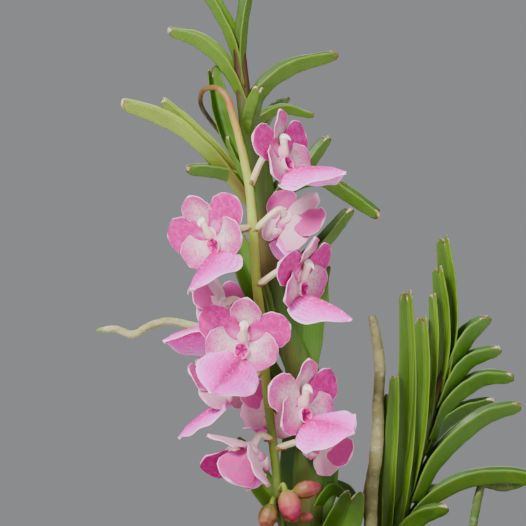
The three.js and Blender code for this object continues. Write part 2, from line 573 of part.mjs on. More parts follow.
// A pedicel bends at its neck, so that it meets its bloom or bud end on.
function pedicel(from, neck, end, radius) {
  const stalk = tube([from, neck, end], steps(radius, radius * 0.9, 4), 5);
  const out = V(...neck).sub(V(...from)).setLength(radius * 4).add(V(0, 0, -1.5 * radius));
  const bract = tube([from, V(...from).add(out).toArray()], [radius * 1.5, 0.3], 3);
  return stalk.add(bract);
}

function buildStalk(bloomEnds) {
  const parts = [tube(STALK, STALK_RADII, 6)];
  BLOOMS.forEach(({ from }, i) => parts.push(pedicel(from, ...bloomEnds[i], PEDICEL_RADIUS)));
  for (const { from, base, tip } of BUDS) {
    const back = V(...base).sub(V(...tip)).normalize();
    const [neck, end] = [1.5, GAP].map((distance) => V(...base).addScaledVector(back, distance).toArray());
    parts.push(pedicel(from, neck, end, BUD_STALK_RADIUS));
  }
  place('flower_stalk', join(parts), 'stalk_green');
}

buildPot();
buildMedium();
buildShoot('main_shoot', MAIN_STEM, MAIN_STEM_RADII, MAIN_LEAVES);
buildShoot('second_shoot', SECOND_STEM, SECOND_STEM_RADII, SECOND_LEAVES);
const bloomEnds = BLOOMS.map((bloom, i) => buildBloom(i + 1, bloom));
BUDS.forEach((bud, i) => buildBud(i + 1, bud));
buildStalk(bloomEnds);
for (const [name, { points, radii }] of Object.entries(ROOTS)) {
  place(name, tube(points, radii, 6), 'root_velamen');
}

export default plant;
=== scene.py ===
"""Looks of a small potted orchid: leaves, hanging flower stalk, keel-lipped blooms, roots, pot and bark.

Tables and helpers work in the part's own millimetres; a mesh is turned into metres when it is made.
"""

import math
import random

import bpy
import numpy as np
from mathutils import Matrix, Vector


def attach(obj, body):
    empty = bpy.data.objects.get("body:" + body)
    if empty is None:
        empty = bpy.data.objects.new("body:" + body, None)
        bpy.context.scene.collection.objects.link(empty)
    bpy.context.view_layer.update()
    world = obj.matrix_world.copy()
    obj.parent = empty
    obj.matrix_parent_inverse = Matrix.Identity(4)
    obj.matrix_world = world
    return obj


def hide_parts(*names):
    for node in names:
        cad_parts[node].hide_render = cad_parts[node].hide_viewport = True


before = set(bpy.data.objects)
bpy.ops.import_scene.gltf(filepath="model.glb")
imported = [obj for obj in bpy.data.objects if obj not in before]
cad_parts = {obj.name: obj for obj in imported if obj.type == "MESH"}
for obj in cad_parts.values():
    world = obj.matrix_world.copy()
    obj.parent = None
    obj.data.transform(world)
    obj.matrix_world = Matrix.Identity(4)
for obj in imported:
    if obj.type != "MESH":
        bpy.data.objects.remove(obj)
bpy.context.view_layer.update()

MM = 0.001

# Camera: level, square to the blooms, as far off as a long lens sees them

VIEW_CENTRE = (-15.0, 173.75)
VIEW_SPAN = 131.5
BLOOM_DEPTH = -10.0
CAMERA_DISTANCE = 1200.0
SENSOR = 36.0


def make_camera():
    data = bpy.data.cameras.new("camera")
    data.sensor_width = SENSOR
    data.lens = SENSOR * CAMERA_DISTANCE / VIEW_SPAN
    data.clip_start = 0.05
    camera = bpy.data.objects.new("camera", data)
    x, z = VIEW_CENTRE
    camera.location = Vector((x, BLOOM_DEPTH - CAMERA_DISTANCE, z)) * MM
    camera.rotation_euler = (math.pi / 2, 0, 0)
    bpy.context.scene.collection.objects.link(camera)
    bpy.context.scene.camera = camera


# Vectors, routes and frames along them

def unit(v):
    return v / np.linalg.norm(v, axis=-1, keepdims=True)


def turned(v, axis, degrees):
    """v turned about a unit axis by the right-hand rule."""
    a = math.radians(degrees)
    return v * math.cos(a) + np.cross(axis, v) * math.sin(a) + axis * np.dot(axis, v) * (1 - math.cos(a))


def smooth(low, high, x):
    s = np.clip((np.asarray(x, float) - low) / (high - low), 0, 1)
    return s * s * (3 - 2 * s)


class Route:
    """A centripetal Catmull-Rom curve through points, by a parameter from 0 to 1."""

    def __init__(self, points):
        p = np.array(points, float)
        if len(p) == 2:
            p = np.array([p[0], (p[0] + p[1]) / 2, p[1]])
        self.points = np.vstack([2 * p[0] - p[1], p, 2 * p[-1] - p[-2]])
        self.spans = len(p) - 1

    def at(self, t):
        t = np.clip(np.atleast_1d(t), 0, 1) * self.spans
        i = np.minimum(t.astype(int), self.spans - 1)
        w = (t - i)[:, None]
        p0, p1, p2, p3 = (self.points[i + k] for k in range(4))
        gaps = ((p0, p1), (p1, p2), (p2, p3))
        d0, d1, d2 = (np.linalg.norm(b - a, axis=1, keepdims=True) ** 0.5 for a, b in gaps)
        m1 = ((p1 - p0) / d0 - (p2 - p0) / (d0 + d1) + (p2 - p1) / d1) * d1
        m2 = ((p2 - p1) / d1 - (p3 - p1) / (d1 + d2) + (p3 - p2) / d2) * d1
        return p1 + m1 * w + (3 * (p2 - p1) - 2 * m1 - m2) * w**2 + (2 * (p1 - p2) + m1 + m2) * w**3

    def frames(self, t, channel):
        """Point, tangent, side and channel directions at each t."""
        step = 1e-4
        tangent = unit(self.at(np.asarray(t) + step) - self.at(np.asarray(t) - step))
        side = unit(np.cross(tangent, np.array(channel, float)))
        return self.at(t), tangent, side, unit(np.cross(side, tangent))


# Shells: closed meshes with the surface's own coordinates on each point

def shell(points, quads, caps=(), along=0.0, across=0.0, side=0.0, tone=0.5, mark=0.0, finish=0):
    """A closed body facing out. along, across and side say where a point is on its blade or tube."""
    points = np.asarray(points, float).reshape(-1, 3)
    quads = np.asarray(quads, int)
    volume = 0.0
    for b, c in ((1, 2), (2, 3)):
        turn = np.cross(points[quads[:, b]], points[quads[:, c]])
        volume += np.einsum("ij,ij->", points[quads[:, 0]], turn)
    for cap in caps:
        fan = points[list(cap)]
        volume += np.einsum("ij,ij->", np.tile(fan[0], (len(fan) - 2, 1)), np.cross(fan[1:-1], fan[2:]))
    faces = quads.tolist() + [list(cap) for cap in caps]
    if volume < 0:
        faces = [face[::-1] for face in faces]
    count = len(points)
    column = lambda value: np.broadcast_to(np.asarray(value, float).ravel(), count)
    return {
        "points": points,
        "faces": faces,
        "surface": np.column_stack([column(along), column(across), column(side)]),
        "marks": np.column_stack([column(tone), column(mark), column(0.0)]),
        "finish": finish,
    }


def grid_quads(rows, columns, wrap=False):
    r, c = np.meshgrid(np.arange(rows - 1), np.arange(columns if wrap else columns - 1), indexing="ij")
    a, b = r * columns + c, r * columns + (c + 1) % columns
    return np.stack([a, b, b + columns, a + columns], axis=-1).reshape(-1, 4)


def blade(front, back, along, across, **marks):
    """A sheet with two faces, given as rows of points, and a closed rim."""
    rows, columns, _ = front.shape
    half = rows * columns
    faces = grid_quads(rows, columns)
    edge = np.concatenate([
        np.arange(columns - 1), (np.arange(rows - 1) + 1) * columns - 1,
        half - 1 - np.arange(columns - 1), (rows - 1 - np.arange(rows - 1)) * columns,
    ])
    following = np.roll(edge, -1)
    rim = np.stack([edge, edge + half, following + half, following], axis=-1)
    quads = np.vstack([faces, faces[:, ::-1] + half, rim])
    points = np.vstack([front.reshape(-1, 3), back.reshape(-1, 3)])
    both = lambda value: np.tile(np.broadcast_to(value, (rows, columns)).ravel(), 2)
    side = np.repeat([0.0, 1.0], half)
    return shell(points, quads, along=both(along), across=both(across), side=side, **marks)


def lofted(rings, along, **marks):
    """A body through rings of points, closed flat at each end."""
    rows, sides, _ = rings.shape
    last = (rows - 1) * sides
    caps = [range(sides)[::-1], range(last, last + sides)]
    across = np.tile(np.linspace(0, 1, sides, endpoint=False), rows)
    quads = grid_quads(rows, sides, wrap=True)
    return shell(rings, quads, caps, along=np.repeat(along, sides), across=across, **marks)


def tube(points, radii, sides=16, rings=24, channel=(0.05, -1, 0.1), rough=0.0, round_end=0.0, **marks):
    """A round or oval body along a route; radii has one radius, or (side, depth), for each even step."""
    path = Route(points)
    t = np.linspace(0, 1, rings)
    table = np.array([r if isinstance(r, (tuple, list)) else (r, r) for r in radii], float)
    stations = np.linspace(0, 1, len(table))
    wide, deep = (np.interp(t, stations, table[:, k]) for k in range(2))
    origin, _, side, up = path.frames(t, channel)
    angle = np.linspace(0, 2 * math.pi, sides, endpoint=False)
    swell = 1 + rough * wobble(t[:, None] * len(points) * 2.3, angle[None, :])
    if round_end:
        past = np.clip((t - 1 + round_end) / round_end, 0, 0.985)
        swell = swell * np.sqrt(1 - past**2)[:, None]
    rings_of_points = (
        origin[:, None]
        + side[:, None] * (wide[:, None] * np.cos(angle) * swell)[..., None]
        + up[:, None] * (deep[:, None] * np.sin(angle) * swell)[..., None]
    )
    return lofted(rings_of_points, t, **marks)


def wobble(a, b):
    """A smooth uneven wave of two coordinates, from about -1 to 1."""
    slow = 0.5 * np.sin(1.7 * a + 2 * b)
    return slow + 0.3 * np.sin(4.1 * a - b + 1.3) + 0.2 * np.sin(8.3 * a + 3 * b + 4.0)


def piece(name, shells, finishes, slot, *nodes):
    """One object from shells, each with its finish, riding on the root and standing for nodes."""
    mesh = bpy.data.meshes.new(name)
    starts = np.cumsum([0] + [len(s["points"]) for s in shells])
    faces = [[i + start for i in face] for s, start in zip(shells, starts) for face in s["faces"]]
    mesh.from_pydata(np.vstack([s["points"] for s in shells]) * MM, [], faces)
    for attribute in ("surface", "marks"):
        layer = mesh.attributes.new(attribute, "FLOAT_VECTOR", "POINT")
        layer.data.foreach_set("vector", np.vstack([s[attribute] for s in shells]).astype(np.float32).ravel())
    for finish in finishes:
        mesh.materials.append(finish)
    indexes = np.repeat([s["finish"] for s in shells], [len(s["faces"]) for s in shells])
    mesh.polygons.foreach_set("material_index", indexes.astype(np.int32))
    mesh.polygons.foreach_set("use_smooth", np.ones(len(faces), bool))
    made = bpy.data.objects.new(name, mesh)
    bpy.context.scene.collection.objects.link(made)
    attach(made, "root")
    if nodes:
        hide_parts(*nodes)
    return made


# Materials: each is a node tree over the surface's own coordinates

def colour(red, green, blue):
    """A screen colour of 0 to 255 as the shader's linear one."""
    linear = [((c / 255 + 0.055) / 1.055) ** 2.4 if c > 10 else c / 255 / 12.92 for c in (red, green, blue)]
    return (*linear, 1.0)


class Finish:
    """A material and short calls that add its nodes."""

    def __init__(self, name, rough, shine=0.5, glow=0.0, depth=(1, 1, 1)):
        """glow is how much light spreads below the skin, depth how far, in mm of red, green and blue."""
        self.material = bpy.data.materials.new(name)
        self.material.use_nodes = True
        self.tree = self.material.node_tree
        self.shader = self.tree.nodes["Principled BSDF"]
        self.shader.inputs["Roughness"].default_value = rough
        self.shader.inputs["Specular IOR Level"].default_value = shine
        self.shader.inputs["Subsurface Weight"].default_value = glow
        self.shader.inputs["Subsurface Radius"].default_value = [reach * MM for reach in depth]
        self.place = self.node("ShaderNodeTexCoord").outputs["Object"]
        self.along, self.across, self.side = self.split("surface")
        self.tone, self.mark, _ = self.split("marks")

    def node(self, kind, **settings):
        made = self.tree.nodes.new(kind)
        for key, value in settings.items():
            setattr(made, key, value)
        return made

    def put(self, socket, value):
        if isinstance(value, bpy.types.NodeSocket):
            self.tree.links.new(value, socket)
        else:
            socket.default_value = value

    def split(self, attribute):
        source = self.node("ShaderNodeAttribute", attribute_name=attribute)
        parts = self.node("ShaderNodeSeparateXYZ")
        self.put(parts.inputs[0], source.outputs["Vector"])
        return tuple(parts.outputs)

    def calc(self, operation, *values):
        made = self.node("ShaderNodeMath", operation=operation)
        for socket, value in zip(made.inputs, values):
            self.put(socket, value)
        return made.outputs[0]

    def times(self, a, b):
        return self.calc("MULTIPLY", a, b)

    def plus(self, a, b):
        return self.calc("ADD", a, b)

    def wave(self, value, rate):
        """A sine along value, from -1 to 1."""
        return self.calc("SINE", self.times(value, rate))

    def span(self, value, low, high, start=0.0, end=1.0):
        """Eases from start to end as value goes from low to high."""
        made = self.node("ShaderNodeMapRange", interpolation_type="SMOOTHSTEP")
        keys = ("Value", "From Min", "From Max", "To Min", "To Max")
        for key, given in zip(keys, (value, low, high, start, end)):
            self.put(made.inputs[key], given)
        return made.outputs[0]

    def texture(self, kind, stretch, **settings):
        made = self.node(kind)
        vector = self.place
        if stretch:
            mapping = self.node("ShaderNodeMapping")
            self.put(mapping.inputs["Vector"], vector)
            mapping.inputs["Scale"].default_value = stretch
            vector = mapping.outputs[0]
        self.put(made.inputs["Vector"], vector)
        for key, value in settings.items():
            made.inputs[key].default_value = value
        return made

    def noise(self, scale, detail=3.0, roughness=0.55, stretch=None):
        made = self.texture("ShaderNodeTexNoise", stretch, Scale=scale, Detail=detail, Roughness=roughness)
        return made.outputs[0]

    def cells(self, scale, stretch=None):
        return self.texture("ShaderNodeTexVoronoi", stretch, Scale=scale).outputs["Distance"]

    def ramp(self, value, *stops):
        """Runs through stops, each a position and a screen colour."""
        made = self.node("ShaderNodeValToRGB")
        elements = made.color_ramp.elements
        for i, (position, *shade) in enumerate(stops):
            element = elements[i] if i < len(elements) else elements.new(position)
            element.position = position
            element.color = colour(*shade)
        self.put(made.inputs[0], value)
        return made.outputs[0]

    def cover(self, base, shade, share):
        """base under shade, as far as share says; each is a screen colour or the output of a node."""
        made = self.node("ShaderNodeMix", data_type="RGBA")
        self.put(made.inputs[0], share)
        for place, value in ((6, base), (7, shade)):
            self.put(made.inputs[place], colour(*value) if isinstance(value, tuple) else value)
        return made.outputs[2]

    def blotch(self, base, shade, share, low, high, *noise, **stretch):
        """base with a colour over it in blotches, where the noise is between low and high or above."""
        return self.cover(base, shade, self.span(self.noise(*noise, **stretch), low, high, 0, share))

    def bump(self, height, strength, distance):
        made = self.node("ShaderNodeBump")
        made.inputs["Strength"].default_value = strength
        made.inputs["Distance"].default_value = distance * MM
        self.put(made.inputs["Height"], height)
        self.put(self.shader.inputs["Normal"], made.outputs[0])

    def done(self, base, roughness=None):
        self.put(self.shader.inputs["Base Color"], base)
        if roughness is not None:
            self.put(self.shader.inputs["Roughness"], roughness)
        return self.material


def ribs(f, count):
    """Fine lines along a blade, from 0 to 1 across it."""
    return f.span(f.wave(f.across, count), -1, 1)


def leaf_finish():
    f = Finish("leaf_green", rough=0.5, shine=0.35, glow=0.06, depth=(2, 4, 1))
    # The ramp over tone, dark green to yellow, is the leaf's own colour and also painted shade: a leaf lying
    # in shadow has a low tone.
    base = f.ramp(f.tone, (0.0, 30, 60, 6), (0.35, 56, 104, 18), (0.7, 96, 132, 26), (1.0, 164, 184, 66))
    base = f.blotch(base, (48, 88, 14), 0.45, 0.35, 0.75, 60, 4)
    base = f.blotch(base, (132, 164, 52), 0.3, 0.5, 0.8, 260, 3, stretch=(1, 1, 0.25))
    base = f.cover(base, (30, 62, 10), f.times(ribs(f, 40), 0.12))
    base = f.cover(base, (84, 118, 36), f.times(f.side, 0.35))
    # Painted shade: on the inner face, the half with across below about 0.15 is darkened as if that arm of
    # the fold lay in shadow.
    painted_inner_shade = f.times(f.span(f.across, 0.15, -0.25), f.calc("SUBTRACT", 1.0, f.side))
    base = f.cover(base, (36, 66, 8), f.times(painted_inner_shade, 0.6))
    edge = f.calc("ABSOLUTE", f.across)
    base = f.cover(base, (128, 150, 62), f.span(edge, 0.9, 1.0, 0, 0.3))
    # Painted shade: a dark line along the keel, where the crease of the fold lies in shadow.
    base = f.cover(base, (34, 66, 10), f.span(edge, 0.10, 0.0, 0, 0.45))
    foot = f.times(f.span(f.along, 0.5, 0.02), f.mark)
    foot = f.times(foot, f.span(f.plus(edge, f.noise(170, 3)), 0.6, 1.4, 0.25, 0.95))
    base = f.cover(base, (92, 54, 18), foot)
    bruise = f.times(f.span(f.noise(110, 4), 0.64, 0.76), f.span(edge, 0.6, 0.95))
    base = f.cover(base, (118, 84, 40), f.times(bruise, 0.45))
    end = f.plus(f.along, f.times(f.noise(420, 3), 0.07))
    base = f.cover(base, (110, 80, 44), f.span(end, 1.018, 1.03, 0, 0.7))
    base = f.cover(base, (206, 192, 158), f.span(end, 1.03, 1.045))
    height = f.plus(f.times(ribs(f, 40), 0.4), f.noise(700, 4))
    f.bump(height, 0.3, 0.12)
    return f.done(base, f.span(f.noise(150), 0.3, 0.7, 0.42, 0.6))


def stem_finish():
    f = Finish("stem_sheaths", rough=0.55, shine=0.35)
    base = f.ramp(
        f.along, (0.0, 60, 32, 26), (0.07, 74, 40, 30), (0.16, 62, 82, 20), (0.4, 56, 88, 16),
        (0.62, 66, 104, 22), (0.9, 84, 108, 36), (1.0, 90, 76, 44),
    )
    brown = f.span(f.noise(70, 5, stretch=(1, 1, 0.6)), 0.48, 0.62)
    base = f.cover(base, (96, 58, 28), f.times(brown, 0.55))
    streaks = f.noise(900, 3, stretch=(1, 1, 0.08))
    base = f.cover(base, (58, 56, 28), f.span(streaks, 0.4, 0.7, 0, 0.45))
    f.bump(f.plus(streaks, f.noise(350, 4)), 0.5, 0.25)
    return f.done(base)


def stalk_finish():
    f = Finish("stalk_green", rough=0.48, shine=0.4, glow=0.1, depth=(2, 3, 1))
    base = f.ramp(
        f.along, (0.0, 88, 70, 36), (0.22, 72, 54, 30), (0.34, 128, 74, 40), (0.42, 180, 108, 58),
        (0.5, 172, 170, 76), (0.6, 166, 194, 74), (0.8, 106, 132, 34), (1.0, 60, 78, 14),
    )
    base = f.blotch(base, (122, 132, 58), 0.45, 0.45, 0.75, 200, 4)
    spots = f.span(f.cells(620, (1, 1, 0.5)), 0.16, 0.08)
    base = f.cover(base, (120, 60, 44), f.times(spots, 0.35))
    f.bump(f.noise(1200, 3, stretch=(1, 1, 0.15)), 0.3, 0.1)
    return f.done(base)


def pedicel_finish():
    f = Finish("pedicel_cream", rough=0.5, shine=0.35, glow=0.2, depth=(2, 1.5, 1))
    base = f.ramp(
        f.along, (0.0, 196, 196, 130), (0.3, 228, 214, 180), (0.75, 236, 212, 198), (1.0, 232, 176, 196),
    )
    base = f.blotch(base, (214, 190, 140), 0.5, 0.45, 0.75, 420, 3)
    f.bump(f.wave(f.across, 12 * math.pi), 0.25, 0.1)
    return f.done(base)


def bract_finish():
    f = Finish("bract_brown", rough=0.7)
    base = f.ramp(f.along, (0.0, 150, 128, 62), (0.6, 132, 92, 48), (1.0, 92, 58, 34))
    base = f.blotch(base, (86, 62, 34), 0.5, 0.4, 0.7, 600, 3)
    f.bump(f.noise(1500, 3), 0.4, 0.1)
    return f.done(base)


def tepal_finish(name, middle, heart, reach, back):
    """A sepal's or petal's skin: pale from its heart as far as reach, mottled, with a thin light rim."""
    f = Finish(name, rough=0.6, shine=0.25, glow=0.15, depth=(1.4, 0.8, 1.3))
    edge = f.calc("ABSOLUTE", f.across)
    blush = f.plus(f.along, f.times(edge, 0.35))
    blush = f.plus(blush, f.times(f.calc("SUBTRACT", f.noise(330, 4), 0.5), 0.5))
    base = f.cover(middle, heart, f.span(blush, reach * 0.45, reach * 1.35, 1.0, 0.0))
    drift = f.plus(f.across, f.times(f.noise(190, 3), 0.35))
    veins = f.times(f.span(f.wave(drift, 38), 0.3, 1.0), f.span(f.noise(300), 0.4, 0.6))
    base = f.cover(base, (180, 20, 126), f.times(veins, 0.16))
    base = f.blotch(base, (224, 90, 180), 0.4, 0.42, 0.62, 700, 5)
    grain = f.times(f.span(f.noise(1900, 2), 0.5, 0.62), f.span(f.along, 0.1, 0.55, 0, 0.42))
    base = f.cover(base, (170, 14, 110), grain)
    specks = f.times(f.span(f.cells(1300), 0.3, 0.16), f.span(f.noise(260, 2), 0.42, 0.6))
    base = f.cover(base, (150, 10, 92), f.times(specks, f.span(f.along, 0.15, 0.5, 0, 0.5)))
    base = f.cover(base, back, f.times(f.side, 0.7))
    outer = f.span(f.along, 0.3, 0.7)
    base = f.cover(base, (250, 210, 236), f.times(f.span(edge, 0.93, 1.0, 0, 0.75), outer))
    base = f.cover(base, (250, 210, 236), f.span(f.along, 0.965, 1.0, 0, 0.75))
    f.bump(f.plus(f.noise(900, 3), f.times(veins, 0.4)), 0.35, 0.12)
    return f.done(base)


def lip_finish():
    f = Finish("lip_pink", rough=0.55, shine=0.3, glow=0.15, depth=(1.4, 0.9, 1.4))
    edge = f.calc("ABSOLUTE", f.across)
    keel = f.plus(edge, f.times(f.calc("SUBTRACT", f.noise(240, 3), 0.5), 0.3))
    base = f.ramp(
        keel, (0.0, 190, 0, 126), (0.14, 222, 10, 164), (0.34, 250, 66, 208), (0.7, 252, 112, 232),
        (1.0, 253, 160, 244),
    )
    base = f.cover(base, (252, 92, 222), f.span(f.along, 0.5, 1.0, 0, 0.5))
    drift = f.plus(f.across, f.times(f.noise(220, 3), 0.22))
    streaks = f.span(f.wave(drift, 46), 0.1, 1.0)
    streaks = f.times(streaks, f.times(f.span(f.along, 1.0, 0.1), f.span(f.noise(340), 0.36, 0.6)))
    base = f.cover(base, (196, 0, 134), f.times(streaks, 0.6))
    base = f.cover(base, (196, 0, 110), f.times(f.span(f.along, 0.16, 0.02), f.span(edge, 0.6, 0.2)))
    base = f.blotch(base, (253, 186, 244), 0.32, 0.52, 0.66, 1300, 3)
    base = f.cover(base, (255, 228, 248), f.span(edge, 0.95, 1.0, 0, 0.7))
    base = f.cover(base, (255, 228, 248), f.span(f.along, 0.97, 1.0, 0, 0.7))
    f.bump(f.plus(f.noise(900, 3), f.times(streaks, 0.8)), 0.3, 0.12)
    return f.done(base)


def throat_finish():
    f = Finish("throat_magenta", rough=0.55, shine=0.2)
    base = f.ramp(
        f.along, (0.0, 130, 0, 90), (0.3, 200, 0, 136), (0.6, 232, 0, 164), (0.8, 238, 70, 184),
        (0.94, 236, 166, 210), (1.0, 228, 190, 208),
    )
    slots = f.span(f.wave(f.across, 31.4), 0.1, 0.9, 0, 0.85)
    base = f.cover(base, (120, 0, 62), f.times(slots, f.span(f.along, 0.95, 0.6)))
    base = f.blotch(base, (232, 70, 160), 0.3, 0.5, 0.75, 900, 3)
    f.bump(f.noise(900, 3), 0.25, 0.1)
    return f.done(base)


def column_finish():
    f = Finish("column_cream", rough=0.42, shine=0.45, glow=0.3, depth=(2, 1.5, 1))
    base = f.ramp(
        f.along, (0.0, 214, 130, 170), (0.3, 222, 176, 174), (0.7, 228, 190, 176), (0.9, 244, 226, 204),
        (1.0, 253, 246, 232),
    )
    base = f.blotch(base, (226, 184, 172), 0.4, 0.5, 0.75, 800, 3)
    f.bump(f.noise(1400, 3), 0.2, 0.08)
    return f.done(base)


def bud_finish():
    f = Finish("bud_pink", rough=0.5, shine=0.35, glow=0.15, depth=(3, 1.5, 1))
    pink = f.ramp(
        f.along, (0.0, 120, 116, 44), (0.25, 168, 100, 70), (0.6, 170, 26, 84), (1.0, 150, 10, 76),
    )
    green = f.ramp(f.along, (0.0, 84, 96, 26), (0.6, 104, 80, 36), (1.0, 118, 46, 50))
    base = f.cover(pink, green, f.tone)
    base = f.blotch(base, (186, 122, 92), 0.45, 0.42, 0.7, 420, 4)
    seams = f.span(f.calc("ABSOLUTE", f.wave(f.across, 3 * math.pi)), 0.16, 0.0, 0, 0.6)
    base = f.cover(base, (150, 62, 84), seams)
    f.bump(f.noise(900, 4), 0.3, 0.12)
    return f.done(base)


def root_finish():
    f = Finish("root_velamen", rough=0.8, shine=0.25)
    base = f.ramp(f.tone, (0.0, 180, 182, 126), (0.5, 126, 120, 80), (1.0, 64, 98, 34))
    bands = f.span(f.noise(160, 4, stretch=(1, 1, 2.4)), 0.42, 0.62, 0, 0.55)
    base = f.cover(base, (98, 100, 58), bands)
    base = f.blotch(base, (206, 202, 170), 0.35, 0.5, 0.8, 700, 4)
    base = f.cover(base, (104, 142, 56), f.times(f.span(f.along, 0.93, 1.0), f.mark))
    f.bump(f.plus(f.noise(600, 5), bands), 0.6, 0.25)
    return f.done(base)


def terracotta_finish():
    f = Finish("pot_terracotta", rough=0.88, shine=0.2)
    base = f.ramp(f.noise(22, 5), (0.25, 158, 84, 54), (0.5, 186, 104, 68), (0.75, 204, 126, 88))
    lime = f.times(f.span(f.noise(38, 6, 0.65), 0.52, 0.7), 0.55)
    base = f.cover(base, (222, 196, 172), lime)
    base = f.cover(base, (112, 66, 46), f.span(f.along, 0.16, 0.0, 0, 0.45))
    base = f.blotch(base, (128, 66, 42), 0.3, 0.55, 0.75, 900, 3)
    f.bump(f.plus(f.noise(1300, 4), f.times(f.noise(260, 3, stretch=(0.1, 0.1, 1)), 0.8)), 0.4, 0.3)
    return f.done(base)


def bark_finish():
    f = Finish("potting_bark", rough=0.9, shine=0.25)
    base = f.ramp(f.tone, (0.0, 34, 28, 25), (0.25, 58, 38, 26), (0.6, 98, 62, 38), (1.0, 140, 94, 58))
    base = f.blotch(base, (52, 34, 24), 0.6, 0.4, 0.65, 320, 5, stretch=(1, 1, 3))
    base = f.blotch(base, (164, 122, 84), 0.35, 0.55, 0.75, 1200, 3)
    f.bump(f.plus(f.noise(500, 6), f.noise(220, 4, stretch=(1, 1, 4))), 0.8, 0.6)
    return f.done(base)


def floor_finish():
    f = Finish("floor_pale", rough=0.7)
    base = f.blotch((226, 224, 220), (218, 216, 212), 0.3, 0.3, 0.7, 6, 3)
    return f.done(base)


# Leaves and their stems

LEAF_ARM = 4.3
LEAF_FOLD = 60
LEAF_ROWS = 40
LEAF_COLUMNS = 17
STEM_RINGS = 90

MAIN_STEM = [
    (-21, 0, 228), (-20, 0, 217), (-18, 0, 207), (-15, 0, 189.5), (-12, 0, 165), (-8.5, 0, 155),
    (-5, 0, 146), (-3.5, 0, 130), (-4, 0, 112), (-5, 0, 92), (-6, 0, 76),
]
MAIN_STEM_RADII = [
    (1.5, 1.2), (1.8, 1.5), (2.6, 2), (3.3, 2.2), (3.5, 2.4), (3.8, 2.6),
    (4, 2.8), (4.4, 3), (4.8, 3.2), (5, 3.4), (4.2, 3.2), (3.6, 3),
]
SECOND_STEM = [
    (31, 4, 148), (28, 4, 138), (25, 4, 128.5), (21.5, 4, 118), (19, 4, 108), (16, 4, 94), (14, 4, 76),
]
SECOND_STEM_RADII = [1.2, 1.6, 2, 2.2, 2.4, 2.7, 2.8, 2.6]
